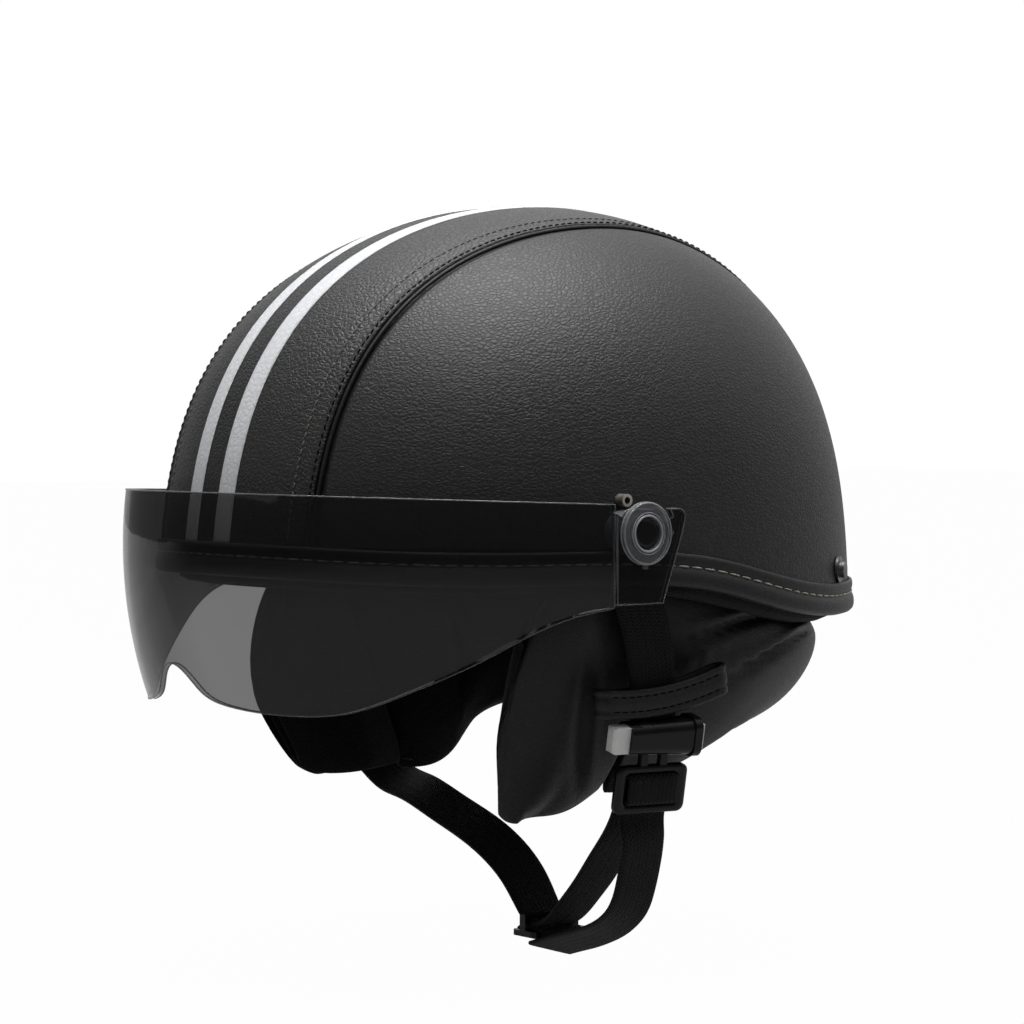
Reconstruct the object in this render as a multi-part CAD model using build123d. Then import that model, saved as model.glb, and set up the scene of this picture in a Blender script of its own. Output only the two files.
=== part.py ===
from build123d import *
import os
from math import cos, pi, radians, sin, sqrt

# Half shell motorcycle helmet, sizes in millimetres.
# The wearer faces -Y, +X is the wearer's left and +Z is up.
# The origin is the middle of the head opening, level with the rim at the sides.

# Outer shape of the dome, measured to the leather
shell_half_width = 110.0
shell_front_length = 138.3
shell_back_length = 113.4
dome_height = 128.7
dome_depth = 34.0
crown_power = 3.22
round_power = 2.04

# Layers, from the leather inwards
leather_thickness = 1.3
shell_thickness = 3.0
foam_thickness = 18.0
liner_thickness = 6.0
layer_gap = 0.2

# Rim seen from the side, as shares of each reach and of the rise or drop
rim_front_rise = 5.0
rim_back_drop = 12.5
rim_front_reach = 160.0
rim_back_reach = 130.0
rim_front_shares = [(1.0, 1.15), (0.75, 0.5), (0.5, 0.28), (0.19, 0.18), (0.06, -0.3)]
rim_back_shares = [(0.08, 0.48), (0.23, 0.8), (0.38, 0.98), (0.62, 1.0), (1.0, 1.0)]

# Binding round the rim
trim_height = 11.0
trim_wall = 1.8
trim_proud = 2.0

# Leather cover: centre strip, piping and stripes
seam_half_width = 44.3
piping_width = 2.2
piping_proud = 1.2
stripe_outer_edge = 13.1
stripe_width = 8.2
stripe_thickness = 0.3
stripe_gap = 0.05

# Liner pads
band_height = 52.0
band_drop = 2.2
crown_pad_radius = 52.0
crown_pad_thickness = 9.0

# Neck skirt: two ear flaps and a neck roll, each an outer cover and an inner pad. The left flap hangs
# further back and lower at its front than the right one.
skirt_inset = 8.6
skirt_drop = 3.4
flap_depth = 74.0
left_flap_depth = 81.0
flap_tuck = 32.0
flap_thickness = 19.0
roll_depth = 34.0
roll_tuck = 17.0
roll_thickness = 24.0
flap_front_angle = 43.0
left_flap_front_angle = 37.0
flap_back_angle = 11.0
skirt_split_gap = 0.4
skirt_seam_angle = 0.6
tuck_power = 1.6
# Depth and fullness of a padded section, from its top edge to its bottom edge
fullness_shares = [(0.0, 0.30), (0.14, 0.80), (0.38, 1.0), (0.66, 1.0), (0.88, 0.74), (1.0, 0.22)]
# Angle, top below the first edge, bottom, tuck and thickness along a flap, from front to back
flap_shares = [
    (-1.0, 0.30, 0.88, 0.80, 0.30),
    (-0.93, 0.10, 0.98, 0.92, 0.74),
    (-0.78, 0.0, 1.0, 1.02, 1.0),
    (-0.55, 0.0, 1.0, 1.06, 1.0),
]
seam_depth_share = 0.98
seam_thickness_share = 0.92
# Angle towards the back, blend from flap to roll, along half of the neck roll
roll_shares = [(0.0, 0.13), (0.12, 0.5), (0.21, 0.82), (0.42, 0.97),
               (0.6, 1.0), (0.74, 1.0), (0.87, 1.0), (1.0, 1.0)]

# Visor, a smoked sheet with a flat tab at each end
visor_thickness = 1.8
visor_half_width = 121.1
visor_length = 154.5
visor_power = 1.85
visor_curve_radius = 160.0
visor_widest_height = 12.0
visor_top_height = 27.0
visor_top_rise = 4.4
visor_level_shares = [-1.4, -0.7, 0.0, 0.6]
visor_level_reach = 40.0
# Lower edge from the nose notch outwards: place across, then height
visor_drop = 40.0
visor_edge_shares = [(0.0, -0.62), (0.05, -0.68), (0.11, -0.86), (0.19, -0.95), (0.34, -1.0), (0.46, -0.98),
                     (0.60, -0.80), (0.75, -0.49), (0.865, -0.19), (0.94, -0.105)]

# Tab round the pivot, measured from the pivot
pivot_forward = 43.0
pivot_height = 18.4
tab_inner_face = 110.2
tab_front = 11.0
tab_tail = 18.0
tab_top = 7.6
tab_low_tail = 8.0
tab_bottom = 22.6
tab_corner_radius = 2.6
notch_radius = 13.4
notch_inner_radius = 9.4
notch_front_angle = 150.0
notch_back_angle = 22.0

# Visor pivot: clear ring, clear spacer, screw cap and inner nut
ring_diameter = 20.4
ring_hole_diameter = 10.8
ring_sleeve_diameter = 12.6
ring_thickness = 2.2
ring_nub_length = 1.1
ring_nub_width = 1.6
spacer_diameter = 15.0
screw_diameter = 5.0
cap_diameter = 10.2
cap_height = 3.0
cap_crown = 1.4
nut_diameter = 11.0
nut_thickness = 1.6
nut_barrel_diameter = 8.0
pivot_fit = 0.06
running_gap = 0.15

# Hollow post beside each pivot
post_diameter = 4.2
post_bore = 2.3
post_collar_diameter = 6.4
post_collar_thickness = 0.8
post_forward = 0.9
post_up = 10.4
post_clearance = 5.4

# Press stud on each side at the back
stud_angle = 33.0
stud_diameter = 9.0
stud_base_height = 0.8
stud_head_diameter = 5.6
stud_head_height = 1.8
stud_shank_diameter = 3.2
stud_above_trim = 4.6

# Webbing on the wearer's left: places forward of the middle and above or below the rim
web_width = 17.6
web_thickness = 1.6
web_bow = 2.2
hang_yaw = 8.0
hang_tilt = 12.0
hang_top_forward = 47.0
hang_top_height = 26.0
hang_rim_forward = 32.6
hang_rim_drop = 5.0
hang_low_forward = 26.0
hang_low_drop = 27.0
hang_end_forward = 25.2
hang_end_drop = 45.4
hang_lean = 1.6
pocket_clearance = 0.9
pocket_rise_share = 0.25
plate_height = 15.0
plate_thickness = 1.2
plate_gap = 0.15

# Leather keeper loops on the ear flaps
keeper_length = 50.0
keeper_depth = 8.6
keeper_height = 9.6
keeper_wall = 1.8
keeper_drop = 34.8
keeper_back = 3.0
keeper_out = 0.9
keeper_roll = 5.4
keeper_yaw = 1.5

# Quick release buckle, along its own axes: out from the head, along the helmet, up the webbing
housing_length = 24.0
housing_height = 11.2
housing_thickness = 10.4
housing_taper = 0.8
housing_round = 3.6
flange_length = 2.8
flange_height = 13.2
flange_thickness = 11.6
web_entry = 2.6
web_entry_gap = 1.3
web_entry_back = 2.5
button_height = 8.8
button_thickness = 5.0
button_proud = 6.2
button_seat = 0.9
button_out = 1.0
button_tip = 1.3
button_tip_height = 8.0
button_travel = 3.0
button_gap = 0.25
rail_height = 1.4
rail_depth = 2.6
spring_diameter = 3.4
spring_wire = 0.6
spring_drop = 1.6
tongue_width = 10.6
tongue_thickness = 2.2
tongue_reach = 8.2
tongue_neck = 4.0
tongue_gap = 0.3
tongue_window_width = 4.4
tongue_window_height = 3.0

# Ladder frame below the tongue
frame_width = 27.0
frame_height = 16.4
frame_thickness = 3.2
frame_rail = 2.6
frame_side = 3.6
frame_bar = 3.4
frame_bar_thickness = 1.8
frame_corner = 2.2
wrap_gap = 0.2
strand_gap = 1.2

# Chin webbing, from behind the right flap to the ladder frame: shares of the hang's half
# width, of its place forward and of the drop, then the lift of its rear edge
chin_drop = 120.0
chin_lift = 20.0
chin_far_shares = [
    (-0.985, 0.80, 0.402, 0.2),
    (-0.935, 0.62, 0.485, 0.5),
    (-0.875, 0.42, 0.566, 0.8),
]
chin_near_shares = [
    (-0.804, 0.24, 0.638, 1.0),
    (-0.598, 0.32, 0.671, 1.0),
    (-0.378, 0.40, 0.7125, 1.0),
    (-0.142, 0.48, 0.762, 1.0),
    (0.026, 0.544, 0.812, 0.9),
    (0.155, 0.592, 0.875, 0.7),
    (0.242, 0.628, 0.942, 0.4),
    (0.325, 0.66, 0.988, 0.0),
    (0.423, 0.716, 0.967, 0.0),
    (0.531, 0.772, 0.904, 0.0),
    (0.634, 0.832, 0.835, 0.0),
    (0.737, 0.888, 0.754, 0.0),
]
tail_shares = [
    (0.945, 0.98, 0.70, 0.0),
    (0.925, 0.97, 0.77, 0.0),
    (0.895, 0.96, 0.84, 0.0),
    (0.840, 0.93, 0.905, 0.0),
    (0.745, 0.89, 0.957, 0.0),
    (0.630, 0.82, 0.993, 0.0),
    (0.520, 0.76, 1.020, 0.0),
    (0.420, 0.70, 1.042, 0.0),
    (0.330, 0.66, 1.0625, 0.0),
]

# Webbing slider at the bottom of the chin webbing
slider_width = 23.6
slider_length = 12.0
slider_plate = 2.0
slider_side = 2.4
slider_bar = 3.0
slider_bar_thickness = 1.6
slider_gap = 1.2
slider_round = 1.8

# Clearances and overruns
soft_gap = 0.3
cut_overrun = 40.0
profile_steps = 10
rim_steps = 80
nodes = {}


# Dome and layers

def half_dome(offset, length):
    """One half of a dome, on the +Y side, scaled to its own length."""
    radius = shell_half_width + offset
    rise = dome_height + dome_depth + offset
    points = []
    for step in range(profile_steps + 1):
        turn = pi / 2 * step / profile_steps
        reach = radius * max(cos(turn), 0) ** (2 / round_power)
        height = rise * sin(turn) ** (2 / crown_power) - dome_depth
        points.append((0 if step == profile_steps else reach, 0, height))
    foot = (0, 0, -dome_depth)
    outline = Spline(points, tangents=[(0, 0, 1), (-1, 0, 0)])
    face = make_face([outline, Line(points[-1], foot), Line(foot, points[0])])
    turned = revolve(face, Axis.Z, 180)
    return scale(turned, by=(1, (length + offset) / radius, 1))


dome_store = {}
rim_store = {}


def dome(offset):
    """Solid dome whose surface lies at an offset from the leather's surface."""
    if offset not in dome_store:
        back = half_dome(offset, shell_back_length)
        front = mirror(half_dome(offset, shell_front_length), Plane.XZ)
        dome_store[offset] = (back + front).clean()
    return dome_store[offset]


def rim_points():
    front = [(-rim_front_reach * s, rim_front_rise * t) for s, t in rim_front_shares]
    back = [(rim_back_reach * s, -rim_back_drop * t) for s, t in rim_back_shares]
    return front + back


rim_edge = Spline([(0, y, z) for y, z in rim_points()])
rim_table = [rim_edge @ (step / rim_steps) for step in range(rim_steps + 1)]


def rim_height(y):
    """Height of the rim's lower edge at a place along the helmet."""
    for a, b in zip(rim_table, rim_table[1:]):
        if a.Y <= y <= b.Y:
            return a.Z + (b.Z - a.Z) * (y - a.Y) / (b.Y - a.Y)
    return rim_table[-1].Z


def above_rim(shift):
    """Everything above the rim's lower edge, moved up by a shift."""
    if shift not in rim_store:
        points = [(0, y, z + shift) for y, z in rim_points()]
        top = dome_height + cut_overrun
        roof = Polyline(points[-1], (0, points[-1][1], top), (0, points[0][1], top), points[0])
        face = make_face([Spline(points), roof])
        rim_store[shift] = extrude(face, amount=shell_half_width + cut_overrun, dir=(1, 0, 0), both=True)
    return rim_store[shift]


def layer(outer, inner, shift):
    return (dome(outer) - dome(inner)) & above_rim(shift)


def box_between(low, high):
    size = [b - a for a, b in zip(low, high)]
    middle = [(a + b) / 2 for a, b in zip(low, high)]
    return Pos(*middle) * Box(*size)


def slab(x_low, x_high):
    """A slab across the whole helmet between two planes of constant X."""
    reach = rim_front_reach + cut_overrun
    return box_between((x_low, -reach, -reach), (x_high, reach, reach))


def mirrored(shape):
    return mirror(shape, Plane.YZ)


def add_pair(name, shape):
    """The same piece on the wearer's left and, mirrored, on the right."""
    nodes[name + "_left"] = shape
    nodes[name + "_right"] = mirrored(shape)


def surface_share(z, offset):
    t = min(max(z + dome_depth, 0) / (dome_height + dome_depth + offset), 1)
    return (1 - t ** crown_power) ** (1 / round_power)


def surface_x(y, z, offset):
    """Half width of an offset dome at a place along and above the rim."""
    length = (shell_front_length if y < 0 else shell_back_length) + offset
    r = surface_share(z, offset)
    return (shell_half_width + offset) * sqrt(max(r * r - (y / length) ** 2, 0))


def side_rod(y, z, x_low, x_high, diameter):
    """Round rod along X on the wearer's left."""
    middle = (x_low + x_high) / 2
    return Pos(middle, y, z) * Rot(0, 90, 0) * Cylinder(diameter / 2, x_high - x_low)


# Offsets of the layers from the leather's surface, and places that follow from them
shell_outer = -leather_thickness
shell_inner = shell_outer - shell_thickness
foam_outer = shell_inner - layer_gap
foam_inner = foam_outer - foam_thickness
liner_outer = foam_inner - layer_gap
liner_inner = liner_outer - liner_thickness
trim_inner = shell_inner - trim_wall
web_offset = trim_inner - layer_gap - web_thickness / 2 - web_bow
pivot_y = -pivot_forward
post_y = pivot_y - post_forward
post_z = pivot_height + post_up
visor_outer_face = tab_inner_face + visor_thickness
spacer_outer_face = tab_inner_face - running_gap
ring_inner_face = visor_outer_face + running_gap
post_collar_face = surface_x(post_y - post_collar_diameter / 2, post_z, shell_inner) - layer_gap


def stud_place():
    """Frame on the leather at the left press stud, its Z pointing outwards."""
    y = shell_back_length * sin(radians(stud_angle))
    z = rim_height(y) + trim_height + stud_above_trim
    y = y * surface_share(z, 0)
    x = surface_x(y, z, 0)
    outward = Vector(x / shell_half_width ** 2, y / shell_back_length ** 2, 0).normalized()
    return Plane(origin=(x, y, z), x_dir=(0, 0, 1), z_dir=outward)


def stud_rod(diameter, low, high):
    place = stud_place()
    return place * Pos(0, 0, (low + high) / 2) * Cylinder(diameter / 2, high - low)


def side_holes():
    """Holes through the shell and its cover for the pivots, posts and press studs of both sides."""
    reach = shell_half_width + cut_overrun
    left = side_rod(pivot_y, pivot_height, 0, reach, nut_barrel_diameter + 2 * layer_gap)
    left = left + side_rod(post_y, post_z, 0, reach, post_diameter + 2 * layer_gap)
    left = left + stud_rod(stud_shank_diameter + 2 * layer_gap, -cut_overrun / 2, cut_overrun / 2)
    return left + mirrored(left)


def build_shell():
    nodes["outer_shell"] = layer(shell_outer, shell_inner, trim_wall + layer_gap) - side_holes()


def build_foam():
    body = layer(foam_outer, foam_inner, trim_height + layer_gap)
    depth = shell_thickness + post_collar_thickness + layer_gap
    cuts = web_pocket()
    cuts = cuts + side_rod(pivot_y, pivot_height, nut_inner_face - 2 * layer_gap, shell_half_width,
                           nut_diameter + 2 * layer_gap)
    cuts = cuts + side_rod(post_y, post_z, post_collar_face - depth, shell_half_width,
                           post_collar_diameter + 2 * layer_gap)
    cuts = cuts + stud_rod(stud_diameter + 2 * layer_gap, shell_inner - depth, 0)
    nodes["impact_foam"] = body - cuts - mirrored(cuts)


def build_leather():
    hide = layer(0, shell_outer, trim_wall + layer_gap) - side_holes()
    inner_edge = seam_half_width - piping_width / 2
    outer_edge = seam_half_width + piping_width / 2
    nodes["centre_leather"] = hide & slab(layer_gap - inner_edge, inner_edge - layer_gap)
    add_pair("side_leather", hide & slab(outer_edge + layer_gap, shell_half_width + cut_overrun))
    cord = layer(piping_proud, shell_outer, trim_wall + layer_gap)
    cord = (cord & slab(inner_edge, outer_edge)) - trim_room()
    add_pair("piping", cord)
    band = layer(stripe_thickness, stripe_gap, trim_height + layer_gap)
    add_pair("stripe", band & slab(stripe_outer_edge - stripe_width, stripe_outer_edge))


def trim_room():
    """Space outside the leather that the rim binding takes up."""
    return layer(trim_proud + layer_gap, 0, -trim_wall) - above_rim(trim_height + layer_gap)


def build_trim():
    outer = layer(trim_proud, trim_inner, 0) - above_rim(trim_height)
    room = (dome(0) - dome(shell_inner)) & above_rim(trim_wall)
    nodes["rim_binding"] = outer - room


def build_liner():
    wall = (dome(liner_outer) - dome(liner_inner)) & above_rim(trim_height)
    foot = (dome(trim_inner - layer_gap) - dome(liner_inner)) & above_rim(-band_drop)
    band = (wall + (foot - above_rim(trim_height))) - above_rim(band_height)
    nodes["head_band"] = band - web_pocket() - mirrored(web_pocket())
    pad = dome(liner_outer) - dome(liner_outer - crown_pad_thickness)
    pad &= Pos(0, 0, dome_height) * Cylinder(crown_pad_radius, dome_height)
    nodes["crown_pad"] = pad


# Neck skirt

def skirt_point(angle, offset, depth):
    """Point of the skirt at a plan angle, an offset from the leather and a depth below the rim."""
    length = shell_front_length if angle < 0 else shell_back_length
    base = rim_height(length * sin(radians(angle)))
    x = (shell_half_width + offset) * cos(radians(angle))
    y = (length + offset) * sin(radians(angle))
    return Vector(x, y, base - depth)


def skirt_section(station, side):
    """Closed outline of the outer cover (side 1) or of the inner pad (side -1)."""
    angle, top, bottom, tuck, thickness = station
    skin, middle = [], []
    for share, full in fullness_shares:
        depth = top + (bottom - top) * share
        centre = -skirt_inset - tuck * (depth / bottom) ** tuck_power - thickness / 2
        skin.append(skirt_point(angle, centre + side * full * thickness / 2, depth))
        middle.append(skirt_point(angle, centre + side * skirt_split_gap / 2, depth))
    edge, back = Spline(skin), Spline(middle[::-1])
    return make_face([edge, Line(skin[-1], middle[-1]), back, Line(middle[0], skin[0])])


def flap_stations(front_angle, reach):
    """Sections of a flap that reaches this far forwards and down."""
    rows = [(front_angle * angle, skirt_drop + reach * top, reach * bottom, flap_tuck * tuck,
             flap_thickness * thick) for angle, top, bottom, tuck, thick in flap_shares]
    return rows + [seam_station(-flap_back_angle)]


def seam_station(angle):
    """The skirt where a flap and the neck roll meet."""
    depth, thickness = flap_depth * seam_depth_share, flap_thickness * seam_thickness_share
    return (angle, skirt_drop, depth, flap_tuck, thickness)


def roll_stations():
    rows = [seam_station(-flap_back_angle + skirt_seam_angle)]
    for turn, mix in roll_shares:
        bottom = flap_depth * seam_depth_share * (1 - mix) + roll_depth * mix
        tuck = flap_tuck * (1 - mix) + roll_tuck * mix
        thick = flap_thickness * (1 - mix) + roll_thickness * mix
        rows.append((90 * turn, skirt_drop, bottom, tuck, thick))
    return rows


def build_skirt():
    pocket = web_pocket()
    for side, names in ((1, ("ear_flap", "neck_roll")), (-1, ("ear_pad", "neck_pad"))):
        left_flap = flap_stations(left_flap_front_angle, left_flap_depth)
        right_flap = flap_stations(flap_front_angle, flap_depth)
        nodes[names[0] + "_left"] = loft([skirt_section(station, side) for station in left_flap]) - pocket
        right = loft([skirt_section(station, side) for station in right_flap]) - pocket
        nodes[names[0] + "_right"] = mirrored(right)
        half = loft([skirt_section(station, side) for station in roll_stations()])
        nodes[names[1]] = (half + mirrored(half)) - pocket - mirrored(pocket)


# Webbing

def hang_across(side=1):
    """Direction across the webbing, towards the back."""
    return Vector(side * sin(radians(hang_yaw)), cos(radians(hang_yaw)), 0)


hang_rim_x = surface_x(-hang_rim_forward, 0, web_offset)
hang_end_x = hang_rim_x - hang_lean
hang_top_x = surface_x(-hang_top_forward, hang_top_height, web_offset)


def hang_points():
    """Route of the upper webbing on the left, from its anchor down to the buckle."""
    low_x = hang_rim_x - hang_lean * hang_low_drop / hang_end_drop
    return [
        Vector(hang_top_x, -hang_top_forward, hang_top_height),
        Vector(hang_rim_x, -hang_rim_forward, -hang_rim_drop),
        Vector(low_x, -hang_low_forward, -hang_low_drop),
        Vector(hang_end_x, -hang_end_forward, -hang_end_drop),
    ]


def band_section(centre, along, across, width, thickness):
    along = along.normalized()
    across = (across - along * across.dot(along)).normalized()
    return Plane(origin=centre, x_dir=across, z_dir=along) * Rectangle(width, thickness)


def band_sections(route, width=web_width, thickness=web_thickness):
    """Cross sections of flat webbing along a route of centres, each with its direction across."""
    centres = [centre for centre, across in route]
    faces = []
    for i, (centre, across) in enumerate(route):
        before, after = centres[max(i - 1, 0)], centres[min(i + 1, len(centres) - 1)]
        faces.append(band_section(centre, after - before, across, width, thickness))
    return faces


def web_pocket():
    """Room for the left webbing and its anchor between the shell and the liner."""
    if "pocket" not in rim_store:
        points = hang_points()
        rise = points[0] - points[1]
        route = [(point, hang_across()) for point in [points[0] + rise * pocket_rise_share] + points[:3]]
        depth = web_thickness + 2 * plate_thickness + 2 * pocket_clearance
        rim_store["pocket"] = loft(band_sections(route, web_width + 2 * pocket_clearance, depth))
    return rim_store["pocket"]


def pivot_share():
    """How far down the webbing's first run the pivot lies."""
    return (hang_top_height - pivot_height) / (hang_top_height + hang_rim_drop)


# The nut clamps the webbing and its plate inside the shell, clear of their lean and yaw
web_lean = (hang_rim_x - hang_top_x) / (hang_top_height + hang_rim_drop)
plate_x = hang_top_x + web_lean * (hang_top_height - pivot_height) - web_thickness / 2 - plate_gap
nut_tilt_room = nut_diameter / 2 * (abs(web_lean) + sin(radians(hang_yaw)))
nut_outer_face = plate_x - plate_thickness - plate_gap - nut_tilt_room
nut_inner_face = nut_outer_face - nut_thickness


def chin_point(shares):
    x, y, z = shares[0] * hang_end_x, -shares[1] * hang_end_forward, -shares[2] * chin_drop
    lift = radians(chin_lift * shares[3])
    return Vector(x, y, z), Vector(0, cos(lift), sin(lift))


def pivot_bore():
    """Clear way for the nut's barrel through the left webbing and its plate."""
    return side_rod(pivot_y, pivot_height, 0, shell_half_width, nut_barrel_diameter + 2 * plate_gap)


def build_webbing():
    hang = loft(band_sections([(point, hang_across()) for point in hang_points()])) - pivot_bore()
    nodes["upper_webbing_left"] = hang
    frame_back = -frame_thickness / 2 - soft_gap - web_thickness / 2
    main_back = frame_back - web_thickness - strand_gap
    foot = buckle_foot - soft_gap
    route = [(Vector(-p.X, p.Y, p.Z), hang_across(-1)) for p in hang_points()[2:]]
    route += [chin_point(shares) for shares in chin_far_shares + chin_near_shares]
    route.append((buckle_point(main_back - strand_gap, foot), hang_across()))
    route.append((buckle_point(main_back, foot + frame_height / 2), hang_across()))
    faces = band_sections(route)
    split = len(chin_far_shares) + 2
    nodes["upper_webbing_right"] = mirrored(hang) + loft(faces[1:split + 1])
    nodes["chin_webbing"] = loft(faces[split:])
    tail = [(buckle_point(frame_back, foot + frame_rail), hang_across())]
    tail.append((buckle_point(frame_back, foot - frame_rail), hang_across()))
    tail += [chin_point(shares) for shares in tail_shares]
    nodes["webbing_tail"] = loft(band_sections(tail))


def build_anchor():
    """Plate behind the webbing's top end, held by the visor pivot's nut."""
    points = hang_points()
    along = points[1] - points[0]
    place = Plane(origin=points[0] + along * pivot_share(), x_dir=-along, z_dir=along.cross(hang_across()))
    low = -web_thickness / 2 - plate_gap - plate_thickness
    plate = Pos(0, 0, low + plate_thickness / 2) * Box(plate_height, web_width, plate_thickness)
    add_pair("anchor_plate", place * plate - pivot_bore())


def build_keeper():
    points = hang_points()
    share = (keeper_drop - hang_low_drop) / (hang_end_drop - hang_low_drop)
    centre = points[2] + (points[3] - points[2]) * share
    inner_length, inner_depth = keeper_length - 2 * keeper_wall, keeper_depth - 2 * keeper_wall
    ring = SlotOverall(keeper_length, keeper_depth) - SlotOverall(inner_length, inner_depth)
    ring = Rot(0, 0, 90) * ring
    body = extrude(ring, amount=keeper_height / 2, both=True)
    place = Pos(centre.X + keeper_out, centre.Y + keeper_back, -keeper_drop)
    turn = Rot(0, 0, -hang_yaw - keeper_yaw) * Rot(keeper_roll, 0, 0)
    add_pair("keeper_loop", place * turn * body)


# Buckle

def buckle_rotation():
    return Rot(0, 0, -hang_yaw) * Rot(0, hang_tilt, 0)


def turned(x, y, z):
    """A step along the buckle's own axes, in the helmet's axes."""
    return (buckle_rotation() * Pos(x, y, z)).position


buckle_centre = hang_points()[3] - turned(-web_entry_back, 0, housing_height / 2 - web_entry)
buckle_foot = -housing_height / 2 - tongue_neck - frame_height
tongue_top = tongue_reach - housing_height / 2
rail_bottom = tongue_top + tongue_gap + button_gap


def buckle_place():
    return Pos(*buckle_centre) * buckle_rotation()


def buckle_point(x, z):
    return buckle_centre + turned(x, 0, z)


def build_housing():
    half = housing_length / 2
    ends = []
    for y, change in ((-half, -housing_taper), (half, housing_taper)):
        place = Plane(origin=(0, y, 0), x_dir=(1, 0, 0), z_dir=(0, 1, 0))
        size = (housing_thickness + change / 2, housing_height + change)
        ends.append(place * RectangleRounded(*size, housing_round))
    body = loft(ends)
    collar_place = Plane(origin=(0, half, 0), x_dir=(1, 0, 0), z_dir=(0, 1, 0))
    collar = extrude(collar_place * RectangleRounded(flange_thickness, flange_height, housing_round),
                     amount=flange_length)
    body = body + collar
    slot = tongue_gap + tongue_thickness / 2
    wide = tongue_gap + tongue_width / 2
    body = body - box_between((-slot, -wide, -housing_height), (slot, wide, tongue_top + tongue_gap))
    web_half = web_width / 2 + soft_gap
    web_low = housing_height / 2 - web_entry - web_entry_gap
    web_x = web_thickness / 2 + web_entry_gap
    body = body - box_between((-web_entry_back - web_x, -web_half, web_low),
                              (-web_entry_back + web_x, web_half, housing_height))
    pocket_end = -half + button_seat + button_travel + button_gap * 2
    head_x = button_thickness / 2 + button_gap
    head_z = button_height / 2 + button_gap
    body = body - box_between((button_out - head_x, -housing_length, -head_z),
                              (button_out + head_x, pocket_end, head_z))
    rail_x = rail_depth / 2 + button_gap
    body = body - box_between((button_out - rail_x, -housing_length, rail_bottom - button_gap),
                              (button_out + rail_x, housing_length, rail_bottom + rail_height + button_gap))
    nodes["buckle_housing"] = buckle_place() * body


def build_button():
    half = housing_length / 2
    head = box_between((button_out - button_thickness / 2, -half - button_proud, -button_height / 2),
                       (button_out + button_thickness / 2, -half + button_seat, button_height / 2))
    head = fillet(head.edges().group_by(Axis.Y)[0], button_thickness / 4)
    tip_start = half + flange_length + button_gap
    rail = box_between((button_out - rail_depth / 2, -half, rail_bottom),
                       (button_out + rail_depth / 2, tip_start + button_tip / 2, rail_bottom + rail_height))
    tip_half = flange_thickness / 2 - housing_round / 2
    tip = box_between((-tip_half, tip_start, -button_tip_height / 2),
                      (tip_half, tip_start + button_tip, rail_bottom + rail_height))
    nodes["push_button"] = buckle_place() * (head + rail + tip)
    low, high = -half + button_seat, -half + button_seat + button_travel + button_gap * 2
    tube = Cylinder(spring_diameter / 2, high - low - 2 * plate_gap)
    tube = tube - Cylinder(spring_diameter / 2 - spring_wire, high - low)
    spring = Pos(button_out, (low + high) / 2, -spring_drop) * Rot(90, 0, 0) * tube
    nodes["button_spring"] = buckle_place() * spring


def build_tongue():
    top = -housing_height / 2 - tongue_neck
    blade = box_between((-tongue_thickness / 2, -tongue_width / 2, top - frame_rail / 2),
                        (tongue_thickness / 2, tongue_width / 2, tongue_top))
    window = box_between((-tongue_width, -tongue_window_width / 2, tongue_top - 2 * tongue_window_height),
                         (tongue_width, tongue_window_width / 2, tongue_top - tongue_window_height))
    slot = box_between((-tongue_width, -tongue_window_width / 2, top),
                       (tongue_width, tongue_window_width / 2, top + tongue_neck))
    side_view = Plane(origin=(0, 0, top - frame_height / 2), x_dir=(0, 1, 0), z_dir=(1, 0, 0))
    frame = extrude(side_view * RectangleRounded(frame_width, frame_height, frame_corner),
                    amount=frame_thickness / 2, both=True)
    inner_width = frame_width - 2 * frame_side
    inner = box_between((-frame_thickness, -inner_width / 2, top - frame_height + frame_rail),
                        (frame_thickness, inner_width / 2, top - frame_rail))
    bar_z = top - frame_height / 2
    bar = box_between((-frame_bar_thickness / 2, -inner_width / 2 - frame_side / 2, bar_z - frame_bar / 2),
                      (frame_bar_thickness / 2, inner_width / 2 + frame_side / 2, bar_z + frame_bar / 2))
    body = (blade - window - slot) + (frame - inner) + bar
    nodes["ladder_tongue"] = buckle_place() * body
    outline = Plane(origin=(0, 0, bar_z), x_dir=(1, 0, 0), z_dir=(0, 1, 0))
    hollow = (frame_bar_thickness + 2 * wrap_gap, frame_bar + 2 * wrap_gap)
    outer = (hollow[0] + 2 * web_thickness, hollow[1] + 2 * web_thickness)
    ring = RectangleRounded(*outer, web_thickness) - Rectangle(*hollow)
    wrap = extrude(outline * ring, amount=web_width / 2, both=True)
    nodes["webbing_wrap"] = buckle_place() * wrap


def build_slider():
    bend, across = chin_point(chin_near_shares[7])
    low = -web_thickness / 2 - slider_gap
    high = web_thickness / 2 + slider_gap
    plate = Box(slider_length, slider_width, slider_plate)
    plate = Pos(0, 0, low - slider_plate / 2) * fillet(plate.edges().filter_by(Axis.Z), slider_round)
    inner = slider_width / 2 - slider_side
    side = box_between((-slider_bar / 2, inner, low - slider_plate / 2),
                       (slider_bar / 2, slider_width / 2, high + slider_bar_thickness))
    bar = box_between((-slider_bar / 2, -inner - slider_side / 2, high),
                      (slider_bar / 2, inner + slider_side / 2, high + slider_bar_thickness))
    body = plate + side + mirror(side, Plane.XZ) + bar
    nodes["webbing_slider"] = Pos(*bend) * body


# Visor

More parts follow.
